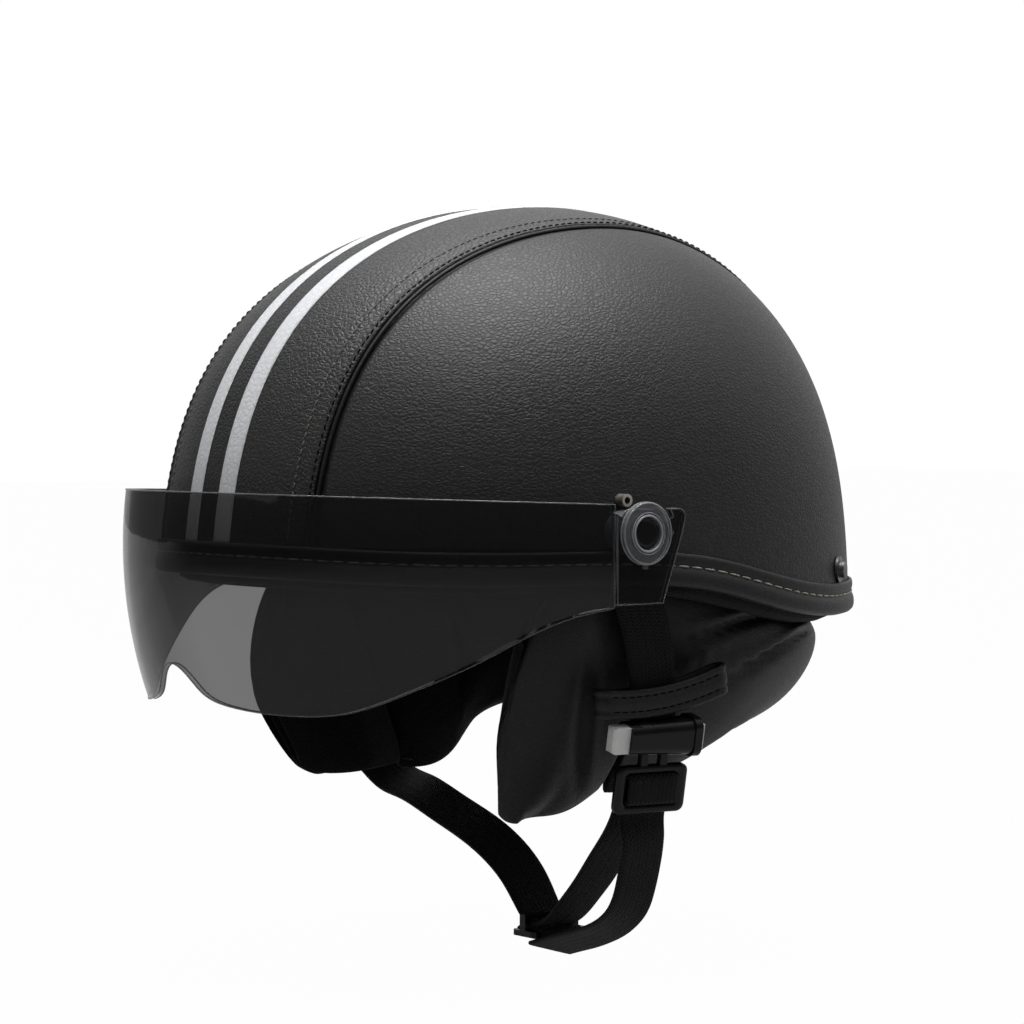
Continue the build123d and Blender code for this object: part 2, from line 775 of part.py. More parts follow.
def visor_plan(level, inset):
    """Closed plan outline of the space inside the visor at a height."""
    fall = level - visor_widest_height
    lean = visor_curve_radius - sqrt(visor_curve_radius ** 2 - fall ** 2)
    width = visor_half_width - inset - lean
    length = visor_length - inset - lean
    points = []
    for step in range(profile_steps * 2 + 1):
        turn = pi * step / (profile_steps * 2)
        c, s = cos(turn), sin(turn)
        reach = (abs(c) ** visor_power + abs(s) ** visor_power) ** (-1 / visor_power)
        points.append((width * c * reach, -length * s * reach, level))
    points[0], points[-1] = (width, 0, level), (-width, 0, level)
    curve = Spline(points, tangents=[(0, -1, 0), (0, 1, 0)])
    return make_face([curve, Line(points[-1], points[0])])


def visor_block(inset):
    levels = [visor_widest_height + visor_level_reach * share for share in visor_level_shares]
    return loft([visor_plan(level, inset) for level in levels])


def visor_front():
    """Space kept by the visor's outline seen from the front."""
    half = [(visor_half_width * s, visor_drop * t) for s, t in visor_edge_shares]
    points = [(-x, 0, z) for x, z in half[:0:-1]] + [(x, 0, z) for x, z in half]
    edge = Spline(points)
    wide = visor_half_width + cut_overrun
    top = visor_level_reach
    rest = Polyline(points[-1], (wide, 0, points[-1][2]), (wide, 0, top), (-wide, 0, top),
                    (-wide, 0, points[0][2]), points[0])
    face = make_face([edge, rest])
    return extrude(face, amount=visor_length + cut_overrun, dir=(0, -1, 0))


def tab_plate(x_low, x_high):
    """Flat tab round the left pivot, with its slanted tail, corner and notch."""
    front = pivot_y - tab_front
    corners = [
        (0, front, pivot_height + tab_top),
        (0, pivot_y + tab_tail, pivot_height + tab_top),
        (0, pivot_y + tab_tail - tab_top / 4, pivot_height),
        (0, pivot_y + tab_low_tail, pivot_height - tab_bottom),
        (0, front, pivot_height - tab_bottom),
    ]
    face = make_face(Polyline(*corners, close=True))
    plate = Pos(x_low, 0, 0) * extrude(face, amount=x_high - x_low, dir=(1, 0, 0))
    rear = plate.edges().filter_by(Axis.X).sort_by(Axis.Y)[-1]
    return fillet(rear, tab_corner_radius)


def visor_notch():
    """Curved gap above the left pivot, from the visor's top edge down to the ring."""
    turns = [notch_back_angle, (notch_back_angle + notch_front_angle) / 2, notch_front_angle]
    reach = 2 * notch_radius
    far = [(0, reach * cos(radians(turn)), reach * sin(radians(turn))) for turn in turns]
    wide = visor_half_width + cut_overrun
    wedge = extrude(make_face(Polyline((0, 0, 0), *far, close=True)), amount=wide, dir=(1, 0, 0))
    moat = side_rod(0, 0, 0, wide, 2 * notch_radius) - side_rod(0, 0, 0, wide, 2 * notch_inner_radius)
    return Pos(0, pivot_y, pivot_height) * (moat & wedge)


def visor_roof():
    """Everything above the visor's top edge, which rises towards the front."""
    reach = visor_half_width + cut_overrun
    front = -visor_length
    points = [(0, 0, visor_top_height - visor_top_rise * pivot_forward / visor_length),
              (0, front, visor_top_height + visor_top_rise),
              (0, front, visor_length), (0, 0, visor_length)]
    return extrude(make_face(Polyline(*points, close=True)), amount=reach, dir=(1, 0, 0), both=True)


def build_visor():
    sheet = (visor_block(0) - visor_block(visor_thickness)) & visor_front()
    bend_y = pivot_y - tab_front
    reach = visor_half_width + cut_overrun
    sheet = sheet & box_between((-reach, -visor_length - cut_overrun, -visor_half_width),
                                (reach, bend_y, visor_half_width))
    sheet = sheet - visor_roof()
    tab = tab_plate(tab_inner_face, visor_outer_face)
    hole = side_rod(pivot_y, pivot_height, 0, reach, ring_sleeve_diameter + 2 * pivot_fit)
    notch = visor_notch()
    nodes["visor"] = (sheet + (tab - hole) + mirrored(tab - hole)) - notch - mirrored(notch)


def build_pivot():
    sleeve_start = spacer_outer_face + layer_gap
    ring = side_rod(pivot_y, pivot_height, ring_inner_face, ring_inner_face + ring_thickness, ring_diameter)
    ring = fillet(ring.edges().sort_by(Axis.X)[-1], ring_thickness / 3)
    ring = ring + side_rod(pivot_y, pivot_height, sleeve_start, ring_inner_face + ring_thickness / 2,
                           ring_sleeve_diameter)
    nub = ring_diameter / 2 + ring_nub_length / 2
    high = ring_inner_face + ring_thickness / 2
    ring = ring + side_rod(pivot_y + nub, pivot_height, ring_inner_face, high, ring_nub_width)
    ring = ring + side_rod(pivot_y, pivot_height - nub, ring_inner_face, high, ring_nub_width)
    reach = shell_half_width + cut_overrun
    ring = ring - side_rod(pivot_y, pivot_height, 0, reach, ring_hole_diameter)
    add_pair("pivot_ring", ring)
    spacer = side_rod(pivot_y, pivot_height, nut_outer_face, spacer_outer_face, spacer_diameter)
    bore = side_rod(pivot_y, pivot_height, 0, reach, screw_diameter + 2 * pivot_fit)
    add_pair("pivot_spacer", spacer - dome(layer_gap) - trim_room() - bore)
    seat = spacer_outer_face + layer_gap
    cap = side_rod(pivot_y, pivot_height, seat, seat + cap_height, cap_diameter)
    cap = fillet(cap.edges().sort_by(Axis.X)[-1], cap_crown)
    shaft = side_rod(pivot_y, pivot_height, nut_inner_face, seat + cap_height / 2, screw_diameter)
    add_pair("pivot_screw", cap + shaft)
    flange = side_rod(pivot_y, pivot_height, nut_inner_face, nut_outer_face, nut_diameter)
    barrel_end = surface_x(pivot_y, pivot_height, shell_outer) - layer_gap
    barrel = side_rod(pivot_y, pivot_height, nut_inner_face, barrel_end, nut_barrel_diameter)
    add_pair("pivot_nut", (flange + barrel) - bore)


def build_post():
    end = tab_inner_face - post_clearance
    start = post_collar_face - post_collar_thickness
    tube = side_rod(post_y, post_z, start, end, post_diameter)
    collar = side_rod(post_y, post_z, start, post_collar_face, post_collar_diameter)
    tube = tube + collar - side_rod(post_y, post_z, 0, end + cut_overrun, post_bore)
    add_pair("stop_post", tube)


def build_stud():
    back = shell_inner - layer_gap
    body = stud_rod(stud_diameter, layer_gap, layer_gap + stud_base_height)
    top = layer_gap + stud_base_height + stud_head_height
    body = body + stud_rod(stud_head_diameter, layer_gap + stud_base_height / 2, top)
    body = body + stud_rod(stud_shank_diameter, back, layer_gap + stud_base_height / 2)
    body = body + stud_rod(stud_head_diameter, back - stud_base_height, back)
    add_pair("rear_stud", body)


build_shell()
build_foam()
build_leather()
build_trim()
build_liner()
build_skirt()
build_anchor()
build_webbing()
build_keeper()
build_housing()
build_button()
build_tongue()
build_slider()
build_visor()
build_pivot()
build_post()
build_stud()

os.makedirs("parts", exist_ok=True)
for name, shape in nodes.items():
    export_step(shape, "parts/" + name + ".step")
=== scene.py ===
"""Half shell helmet with a leather cover, a smoked visor and a buckled chin strap."""
import math
import bmesh
import bpy
import numpy as np
from mathutils import Matrix, Vector


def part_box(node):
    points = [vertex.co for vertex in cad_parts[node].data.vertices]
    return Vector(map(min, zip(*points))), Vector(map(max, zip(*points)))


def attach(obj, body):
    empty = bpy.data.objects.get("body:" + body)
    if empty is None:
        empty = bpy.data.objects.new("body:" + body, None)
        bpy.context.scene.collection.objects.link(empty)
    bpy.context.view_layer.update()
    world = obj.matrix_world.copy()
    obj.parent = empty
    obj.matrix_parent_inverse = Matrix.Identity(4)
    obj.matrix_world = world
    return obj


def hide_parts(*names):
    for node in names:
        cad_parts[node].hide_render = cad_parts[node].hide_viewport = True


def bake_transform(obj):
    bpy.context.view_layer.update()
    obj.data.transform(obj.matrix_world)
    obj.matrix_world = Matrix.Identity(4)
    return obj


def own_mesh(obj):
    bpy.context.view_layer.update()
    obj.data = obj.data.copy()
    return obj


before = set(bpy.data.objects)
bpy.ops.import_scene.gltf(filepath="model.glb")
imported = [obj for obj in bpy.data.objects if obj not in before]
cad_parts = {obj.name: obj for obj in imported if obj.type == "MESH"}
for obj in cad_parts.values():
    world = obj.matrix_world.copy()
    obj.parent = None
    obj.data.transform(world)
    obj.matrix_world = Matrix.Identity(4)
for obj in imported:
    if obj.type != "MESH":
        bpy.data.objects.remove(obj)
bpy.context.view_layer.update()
scene = bpy.context.scene
MM = 0.001
SIDES = ((1, "left"), (-1, "right"))

# Camera: the picture's size in pixels, the lens, the view's directions and what it looks at
PICTURE, LENS, SENSOR = 1024, 119.41, 36.0
VIEW_BACK, VIEW_RIGHT = (0.7849, -0.6188, 0.0332), (0.6191, 0.7853, 0)
VIEW_TARGET, VIEW_DISTANCE = (-4.12, -5.22, 21.44), 1.2

# Dome and rim of the source. All lengths from here to the stage are in millimetres.
HALF, FRONT, BACK = 110.0, 138.3, 113.4
HEIGHT, DEPTH = 128.7, 34.0
CROWN, ROUND = 3.22, 2.04
RIM = [(-160, 5.75), (-120, 2.5), (-80, 1.4), (-30.4, 0.9), (-9.6, -1.5), (10.4, -6),
       (29.9, -10), (49.4, -12.25), (80.6, -12.5), (130, -12.5)]

# Leather cover: places across the helmet, heights of its ends over the rim, offsets from the dome
SEAM, STRIPE_IN, STRIPE_OUT = 44.3, 4.9, 13.1
COVER_LIFT, STRIPE_LIFT, COVER_BACK = 4.0, 9.0, -1.25
PIPING_RADIUS, PIPING_SINK = 0.75, -0.2
PANEL_MIDDLE, PANEL_EYE = np.array([110.0, -6.0, 44.0]), np.array([0.0, -6.0, 20.0])

# A stitch: shares of its length, with its thickness and height there in radii
STITCH = np.array([(0.0, 0.35, -1.1), (0.12, 0.8, -0.1), (0.35, 1.0, 1.0), (0.65, 1.0, 1.0),
                   (0.88, 0.8, -0.1), (1.0, 0.35, -1.1)])

# Rim binding: offsets from the dome and heights over the rim, round its section
BINDING = [(0.06, 10.3), (0.35, 10.85), (0.9, 11), (1.35, 10.75), (1.55, 10), (1.6, 9), (1.42, 8),
           (1.12, 7.3), (0.92, 6.8), (1.15, 6.3), (1.6, 5.5), (1.92, 4.4), (2, 3.2), (1.92, 2),
           (1.6, 1.05), (0.9, 0.35), (-0.4, 0), (-2.2, -0.05), (-4.2, 0), (-5.4, 0.4), (-6, 1.3),
           (-6.1, 3.2), (-6.1, 8.6), (-5.9, 10.5), (-5.3, 11), (-4.6, 10.9), (-4.33, 10.3), (-4.33, 6),
           (-4.33, 1.85), (-2.2, 1.75), (-0.05, 1.85), (0.04, 6)]
RIM_STITCH_OFFSET, RIM_STITCH_HEIGHT = 1.08, 6.8

# Liner: the head band's section as offset, height and share of the level top, and the crown pad
BAND = [(-6.7, -1.4, 0), (-9.5, -2.6, 0), (-15, -3.2, 0), (-21, -3.2, 0), (-26, -2.4, 0), (-29, 0, 0),
        (-29.9, 4, 0), (-29.6, 10, 0.1), (-29.5, 18, 0.35), (-29.4, 28, 0.6), (-29.4, 38, 0.85),
        (-29.2, 46, 1), (-28.4, 50.6, 1), (-26.4, 52, 1), (-24.2, 51.6, 1), (-23, 49.5, 1),
        (-22.8, 38, 0.85), (-22.8, 26, 0.6), (-22.8, 16, 0.2), (-22.8, 12.2, 0), (-21.6, 10.9, 0),
        (-15, 10.8, 0), (-9, 10.7, 0), (-7, 9.6, 0), (-6.45, 6, 0), (-6.4, 1.5, 0)]
BAND_COUNT, WEB_TURN = 420, 19.0
BAND_SEAM_TURN, BAND_SEAM_WIDTH, BAND_SEAM_DEPTH = 24.0, 1.6, 2.0
PAD_RADIUS, PAD_TOP, PAD_BOTTOM, QUILT = 51.4, -22.9, -31.6, 1.2

# Flaps and roll. FLAP_REACH: front angle, depth, and lean of the top front corner in degrees. A station
# of FLAP: shares of the front angle, of the depth at top and bottom, of the tuck and of the thickness.
# A station of the roll: share of a quarter turn, and of the way from the flap's section to the roll's.
SKIRT_INSET, SKIRT_DROP, TUCK_POWER = 8.6, 1.2, 1.6
FLAP_DEPTH, FLAP_TUCK, FLAP_THICK = 74.0, 32.0, 19.0
ROLL_DEPTH, ROLL_TUCK, ROLL_THICK = 34.0, 17.0, 24.0
FLAP_REACH = {"left": (38.3, 81, 5), "right": (38, 74.5, 13)}
FULLNESS = [(0, 0.30), (0.14, 0.80), (0.38, 1), (0.66, 1), (0.88, 0.74), (1, 0.22)]
FLAP = [(-1, 0.30, 0.93, 0.84, 0.34), (-0.93, 0.10, 0.98, 0.92, 0.74), (-0.78, 0, 1, 1.02, 1),
        (-0.55, 0, 1, 1.06, 1)]
ROLL_BACK = [(0.6, 1), (0.74, 1), (0.87, 1), (1, 1)]
ROLL_LEFT = [(0, 0.13), (0.12, 0.5), (0.21, 0.82), (0.42, 0.97)] + ROLL_BACK
ROLL_RIGHT = [(0, 0.08), (0.12, 0.34), (0.21, 0.62), (0.42, 0.92)] + ROLL_BACK
PRESSURE, FRAMES = 4.0, 20
FLAP_SWELL, ROLL_SWELL = 0.0028, 0.005

# Folds: points in the picture, width in pixels, depth and height of the ridge beside it
FLAP_FOLDS = [([(592, 640), (584, 690), (580, 745), (577, 800)], 7, 1.3, 0.5),
              ([(498, 716), (512, 738), (520, 762)], 4, 0.8, 0.5),
              ([(500, 700), (518, 716), (536, 722)], 4, 0.5, 0.3),
              ([(495, 742), (511, 750), (526, 749)], 3, 0.9, 0.6),
              ([(496, 688), (508, 696), (516, 708)], 3, 0.9, 0.6),
              ([(498, 772), (511, 777), (523, 775)], 3, 0.8, 0.5)]
ROLL_FOLDS = [([(722, 682), (752, 664), (785, 645), (816, 624)], 4, 3, 1.4),
              ([(668, 646), (700, 636), (735, 624), (776, 610)], 5, 3.4, 1.2),
              ([(690, 668), (715, 655), (745, 640)], 4, 1.2, 0.6)]

# Webbing: centres of its runs, the direction of its width at each, its section and its weave
HANG = [(91.16, -47, 26), (97.03, -32.6, -5), (96.08, -26, -27), (95.43, -25.2, -45.4)]
CHIN_RIGHT = [(-95.43, -25.2, -45.4), (-94, -20.16, -48.24), (-89.23, -15.62, -58.2),
              (-83.5, -10.58, -67.92)]
CHIN = [(-83.5, -10.58, -67.92), (-76.73, -6.05, -76.56), (-57.07, -8.06, -80.52), (-36.07, -10.08, -85.5),
        (-13.55, -12.1, -91.44), (2.48, -13.71, -97.44), (14.79, -14.92, -105), (23.09, -15.83, -113.04),
        (31.02, -16.63, -118.56), (40.37, -18.04, -116.04), (50.67, -19.45, -108.48), (60.5, -20.97, -100.2),
        (70.33, -22.38, -90.48), (85.33, -23.78, -73.19), (88.18, -24.18, -65.42)]
TAIL = [(89.74, -24.4, -71.47), (88.67, -24.25, -76.56), (90.18, -24.7, -84), (88.27, -24.44, -92.4),
        (85.41, -24.19, -100.8), (80.16, -23.44, -108.6), (71.1, -22.43, -114.84), (60.12, -20.66, -119.16),
        (49.62, -19.15, -122.4), (40.08, -17.64, -125.04), (31.49, -16.63, -127.5)]
LEVEL, TURNED = (0, 1, 0), (0.139, 0.99, 0)
HANG_ACROSS = [TURNED] * 4
HANG_RIGHT_ACROSS = [(-0.139, 0.99, 0)] * 4 + [(0, 0.998, 0.07), (0, 0.985, 0.174), (0, 0.961, 0.276)]
CHIN_ACROSS = [(0, 0.961, 0.276)] + [(0, 0.94, 0.342)] * 4 + [(0, 0.951, 0.309), (0, 0.97, 0.242)]
CHIN_ACROSS += [(0, 0.99, 0.139)] + [LEVEL] * 5 + [TURNED] * 2
TAIL_ACROSS = [TURNED] * 2 + [LEVEL] * 3 + [(0, 0.995, -0.1), (0, 0.98, -0.2), (0, 0.96, -0.28)]
TAIL_ACROSS += [(0, 0.95, -0.32)] * 3
TAPE_TOP = [(-8.8, 0), (-8.65, 0.5), (-8.2, 0.75), (-6, 0.8), (-2, 0.8), (2, 0.8), (6, 0.8),
            (8.2, 0.75), (8.65, 0.5)]
TAPE_SECTION = np.array(TAPE_TOP + [(-wide, -high) for wide, high in TAPE_TOP])
TAPE_COLUMN, TAPE_RIB = 1.6, 1.25
ACROSS_WEIGHT = 40

# Buckle and keeper, in their own axes
BUCKLE_CENTRE, BUCKLE_TILT = np.array([97.24, -25.45, -48.85]), (-8, 12)
LADDER_MIDDLE, SLIDER_PLATE = -17.8, (12.0, 2.0)
LADDER_TOP = [(0, 0.9), (0.1, 1.4), (0.35, 1.6), (0.65, 1.6), (0.9, 1.3), (1, 0.8)]
LADDER_SECTION = LADDER_TOP + [(share, -lift) for share, lift in reversed(LADDER_TOP)]
BLADE = [((-1.1, 2.2, -10.8), (1.1, 5.3, 2.6)), ((-1.1, -5.3, -10.8), (1.1, -2.2, 2.6)),
         ((-1.05, -5.2, -5.6), (1.05, 5.2, -3.4)), ((-1.05, -5.2, -0.4), (1.05, 5.2, 2.55)),
         ((-0.9, -10.5, -19.5), (0.9, 10.5, -16.1))]
SPRING_X, SPRING_Z, SPRING_RADIUS, SPRING_TURNS = 1.0, -1.6, 1.4, 3.5
KEEPER_CENTRE, KEEPER_TILT = np.array([96.71, -22.66, -34.8]), (-9.5, 5.4)
KEEPER_HALF, KEEPER_BEND, KEEPER_ROW = 20.7, 3.4, 2.4
KEEPER_SECTION = [(-4.8, 0), (-4.65, 0.55), (-4.2, 0.9), (-3.2, 0.95), (-2.4, 0.5), (-1.6, 0.95),
                  (0, 1), (1.6, 0.95), (2.4, 0.5), (3.2, 0.95), (4.2, 0.9), (4.65, 0.55), (4.8, 0),
                  (4.65, -0.6), (4.2, -0.85), (0, -0.88), (-4.2, -0.85), (-4.65, -0.6)]

# Clear ring: its centre, and the radius, depth below the face and thickness of each raised rim, which is
# coloured pale as a painted highlight
PIVOT = (-43, 18.4)
RING_GLINT_RIMS = ((9.75, 0.35, 0.24), (5.75, 0.1, 0.36), (6.7, 0.02, 0.14), (10, 1.9, 0.18))


# Camera

def linked(name, data):
    """New object in the scene."""
    obj = bpy.data.objects.new(name, data)
    scene.collection.objects.link(obj)
    return obj


def add_camera():
    back = Vector(VIEW_BACK).normalized()
    right = Vector(VIEW_RIGHT).normalized()
    up = back.cross(right)
    camera = linked("camera", bpy.data.cameras.new("camera"))
    camera.data.lens, camera.data.sensor_width = LENS, SENSOR
    place = Matrix((right, up, back)).transposed().to_4x4()
    place.translation = Vector(VIEW_TARGET) * MM + back * VIEW_DISTANCE
    camera.matrix_world = place
    scene.camera = camera
    return np.array(right), np.array(up), np.array(back), np.array(place.translation) / MM


right_axis, up_axis, back_axis, eye = add_camera()


def pixels(points):
    """Where points fall in the picture."""
    step = points - eye
    depth = -(step @ back_axis)
    focal, half = LENS / SENSOR * PICTURE, PICTURE / 2
    return np.stack([half + focal * (step @ right_axis) / depth, half - focal * (step @ up_axis) / depth], -1)


# Shapes

def unit(vectors):
    return vectors / np.linalg.norm(vectors, axis=-1, keepdims=True)


def run_along(path):
    """Length along a path up to each of its points."""
    return np.hstack([0, np.cumsum(np.linalg.norm(np.diff(path, axis=0), axis=1))])


def spline(points, count):
    """Smooth curve through the points, read at even steps."""
    p = np.array(points, float)
    step = np.linalg.norm(np.diff(p, axis=0), axis=1)
    t = np.hstack([0, np.cumsum(step)])
    n = len(p)
    a, b = np.eye(n), np.zeros_like(p)
    for i in range(1, n - 1):
        a[i, i - 1], a[i, i], a[i, i + 1] = step[i - 1], 2 * (step[i - 1] + step[i]), step[i]
        b[i] = 6 * ((p[i + 1] - p[i]) / step[i] - (p[i] - p[i - 1]) / step[i - 1])
    m = np.linalg.solve(a, b)
    u = np.linspace(0, t[-1], count)
    i = np.clip(np.searchsorted(t, u, side="right") - 1, 0, n - 2)
    h, d, e = step[i][:, None], (u - t[i])[:, None], (t[i + 1] - u)[:, None]
    bend = (m[i] * e ** 3 + m[i + 1] * d ** 3) / (6 * h)
    return bend + (p[i] / h - m[i] * h / 6) * e + (p[i + 1] / h - m[i + 1] * h / 6) * d


RIM_CURVE = spline(RIM, 400)


def rim(y):
    return np.interp(y, RIM_CURVE[:, 0], RIM_CURVE[:, 1])


def radius_at(z, offset):
    t = np.clip((z + DEPTH) / (HEIGHT + DEPTH + offset), 0, 1)
    return (1 - t ** CROWN) ** (1 / ROUND)


def inside(p, offset):
    """Below zero inside the dome, above it outside."""
    length = np.where(p[..., 1] < 0, FRONT, BACK) + offset
    return np.hypot(p[..., 0] / (HALF + offset), p[..., 1] / length) - radius_at(p[..., 2], offset)


def cast(origin, direction, offset):
    """Where rays from inside leave the dome."""
    offset = np.asarray(offset, float)
    low = np.zeros(direction.shape[:-1])
    high = np.full(direction.shape[:-1], 260.0)
    for _ in range(44):
        mid = (low + high) / 2
        out = inside(origin + direction * mid[..., None], offset) > 0
        high, low = np.where(out, mid, high), np.where(out, low, mid)
    return origin + direction * low[..., None]


def across_dome(x, count, offset, lift):
    """Points over the dome in the plane x, from the front rim to the back rim."""
    turn = np.radians(np.linspace(-16, 196, 700))
    x = np.asarray(x, float)
    origin = x[:, None, None] * (1, 0, 0) + (0, 0, -5)
    ray = np.stack([0 * turn, -np.cos(turn), np.sin(turn)], -1)[None]
    offset = np.broadcast_to(offset, (len(x),))[:, None]
    rows = []
    for line in cast(origin, np.broadcast_to(ray, (len(x), len(turn), 3)), offset):
        shown = np.where(line[:, 2] > rim(line[:, 1]) + lift)[0]
        run = np.linspace(turn[shown[0]], turn[shown[-1]], count)
        rows.append(np.stack([np.interp(run, turn, line[:, k]) for k in range(3)], -1))
    return np.array(rows)


def normals_of(points):
    """Outward direction of the dome at points."""
    return unit(np.stack([inside(points + way, 0) - inside(points - way, 0) for way in 0.05 * np.eye(3)], -1))


def around(profile, count, low=0.0, high=360.0):
    """Sweep of a profile of (offset, height, share of the level top) round the rim."""
    turn = np.radians(np.linspace(low, high, count, endpoint=high - low < 360))[:, None]
    offset, height, level = (np.array(column, float)[None] for column in zip(*profile))
    length = np.where(np.sin(turn) < 0, FRONT, BACK) + offset
    y = length * np.sin(turn)
    for _ in range(6):
        z = rim(y) * (1 - level) + height
        r = radius_at(z, offset)
        y = length * r * np.sin(turn)
    x = (HALF + offset) * r * np.cos(turn)
    return np.stack([x, y, np.broadcast_to(z, x.shape)], -1)


def make(name, points, faces, look, sharp=None):
    """Smooth mesh object, its faces turned outward."""
    mesh = bpy.data.meshes.new(name)
    mesh.from_pydata((np.asarray(points).reshape(-1, 3) * MM).tolist(), [], faces)
    mesh.validate()
    mesh.update()
    mesh.polygons.foreach_set("use_smooth", [True] * len(mesh.polygons))
    if sharp:
        mesh.set_sharp_from_angle(angle=math.radians(sharp))
    mesh.materials.append(look)
    work = bmesh.new()
    work.from_mesh(mesh)
    bmesh.ops.recalc_face_normals(work, faces=work.faces)
    work.to_mesh(mesh)
    work.free()
    return linked(name, mesh)


def grid_faces(rows, columns, wrap_rows=False, wrap_columns=False, start=0):
    faces = []
    for i in range(rows if wrap_rows else rows - 1):
        for j in range(columns if wrap_columns else columns - 1):
            a, b = i * columns + j, i * columns + (j + 1) % columns
            c, d = ((i + 1) % rows) * columns + (j + 1) % columns, ((i + 1) % rows) * columns + j
            faces.append((start + a, start + d, start + c, start + b))
    return faces


def loft(name, sections, look, closed=False):
    """Closed body through sections, each a closed loop of points."""
    sections = np.asarray(sections)
    rows, columns = sections.shape[:2]
    faces = grid_faces(rows, columns, wrap_rows=closed, wrap_columns=True)
    if not closed:
        faces.append(tuple(range(columns)))
        faces.append(tuple(range(rows * columns - 1, (rows - 1) * columns - 1, -1)))
    return make(name, sections, faces, look)


def two_skins(name, outer, inner, skin, edge, look):
    """Thin closed body of two grids with the same faces, joined along their edge."""
    count = outer.shape[0] * outer.shape[1]
    faces = skin + [tuple(count + v for v in reversed(face)) for face in skin]
    faces += [(a, b, count + b, count + a) for a, b in zip(edge, edge[1:] + edge[:1])]
    return make(name, np.vstack([outer.reshape(-1, 3), inner.reshape(-1, 3)]), faces, look)


def strip(name, outer, inner, look):
    """Thin closed body between two open grids."""
    rows, columns = outer.shape[:2]
    edge = [i * columns for i in range(rows)] + [(rows - 1) * columns + j for j in range(1, columns)]
    edge += [i * columns + columns - 1 for i in range(rows - 2, -1, -1)] + list(range(columns - 2, 0, -1))
    return two_skins(name, outer, inner, grid_faces(rows, columns), edge, look)


def full_turn(count):
    return np.linspace(0, 2 * np.pi, count, endpoint=False)


def round_loops(path, one, other, radius, sides):
    """Circles round a path, in the plane of two directions."""
    turn = full_turn(sides)[None, :, None]
    one = np.broadcast_to(one, path.shape)
    return path[:, None] + radius * (np.cos(turn) * one[:, None] + np.sin(turn) * other[:, None])


def tube_along(name, path, normals, radius, look, sides=10):
    """Round cord along a path on a surface."""
    along = unit(np.gradient(path, axis=0))
    return loft(name, round_loops(path, normals, np.cross(along, normals), radius, sides), look)


def placed(obj, slot, *nodes, body="helmet"):
    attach(obj, body)
    if nodes:
        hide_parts(*nodes)
    return obj


def axis_turn(axis, degrees):
    return np.array(Matrix.Rotation(math.radians(degrees), 3, axis))


# Materials

def plug(socket, value):
    """Gives a socket a value, or another node's output."""
    if isinstance(value, bpy.types.NodeSocket):
        socket.id_data.links.new(value, socket)
    else:
        socket.default_value = value


def feed(target, **values):
    for key, value in values.items():
        plug(target.inputs[key.replace("_", " ")], value)


def node(tree, kind, **values):
    """New node. A name with a capital is a socket, any other a setting."""
    made = tree.nodes.new("ShaderNode" + kind)
    for key, value in values.items():
        if key[0].isupper():
            plug(made.inputs[key.replace("_", " ")], value)
        else:
            setattr(made, key, value)
    return made


def look_of(name, color, roughness, metallic=0, **sockets):
    """New material with its shader, ready for texture nodes."""
    mat = bpy.data.materials.new(name)
    mat.use_nodes = True
    tree = mat.node_tree
    shader = tree.nodes["Principled BSDF"]
    feed(shader, Base_Color=(*color, 1), Roughness=roughness, Metallic=metallic, **sockets)
    return mat, tree, shader


def place_of(tree, scale=(1, 1, 1), turn=(0, 0, 0)):
    coord = node(tree, "TexCoord").outputs["Object"]
    return node(tree, "Mapping", Vector=coord, Scale=scale, Rotation=turn).outputs["Vector"]


def noise(vector, scale, detail=3, rough=0.5, distortion=0):
    return node(vector.id_data, "TexNoise", Vector=vector, Scale=scale, Detail=detail, Roughness=rough,
                Distortion=distortion).outputs["Fac"]


def cracks(vector, scale):
    """Distance to the nearest crease between cells."""
    return node(vector.id_data, "TexVoronoi", feature="DISTANCE_TO_EDGE", Vector=vector,
                Scale=scale).outputs["Distance"]


def ramp(factor, *stops):
    """Colour between two stops of a factor."""
    made = node(factor.id_data, "ValToRGB", Fac=factor)
    for element, (place, color) in zip(made.color_ramp.elements, stops):
        element.position, element.color = place, (*color, 1)
    return made.outputs["Color"]


def spread(factor, low, high, start=0, end=1):
    return node(factor.id_data, "MapRange", Value=factor, From_Min=start, From_Max=end, To_Min=low,
                To_Max=high).outputs["Result"]


def math_of(operation, a, b=0.5):
    made = node(a.id_data, "Math", operation=operation)
    plug(made.inputs[0], a)
    plug(made.inputs[1], b)
    return made.outputs[0]


def plus(a, b):
    return math_of("ADD", a, b)


def times(a, b):
    return math_of("MULTIPLY", a, b)


def bump(shader, height, distance, strength=1):
    made = node(shader.id_data, "Bump", Strength=strength, Distance=distance, Height=height)
    feed(shader, Normal=made.outputs["Normal"])


def leather(name, dark, pale, rough, cell, depth, stretch=(1, 1, 1), turn=(0, 0, 0), wander=0.6, gloss=0.35):
    """Grained hide: cells with creases between them, pores and slow changes of tone; the creases are painted
    darker as shade.
    """
    mat, tree, shader = look_of(name, pale, rough[0], Specular_IOR_Level=gloss)
    vector = place_of(tree, stretch, turn)
    drift = node(tree, "TexNoise", Vector=vector, Scale=1 / cell * 0.45, Detail=2).outputs["Color"]
    shift = node(tree, "VectorMath", operation="SCALE", Vector=drift, Scale=cell * wander)
    bent = node(tree, "VectorMath", operation="ADD", Vector=vector)
    plug(bent.inputs[1], shift.outputs[0])
    pebble = spread(cracks(bent.outputs[0], 1 / cell), 0, 1, 0, 0.36)
    pebble = math_of("POWER", pebble, 0.6)
    small = spread(cracks(bent.outputs[0], 2.6 / cell), 0, 0.16, 0, 0.3)
    soft = times(noise(vector, 0.35 / cell), 0.8)
    bump(shader, plus(plus(pebble, small), soft), depth)
    # The creases take the dark colour: painted shade in the grain, times slow random changes of tone.
    tone = times(pebble, spread(noise(vector, 28, 2), 0.75, 1, 0.35, 0.65))
    feed(shader, Base_Color=ramp(tone, (0, dark), (0.9, pale)),
         Roughness=spread(pebble, rough[1], rough[0]))
    return mat


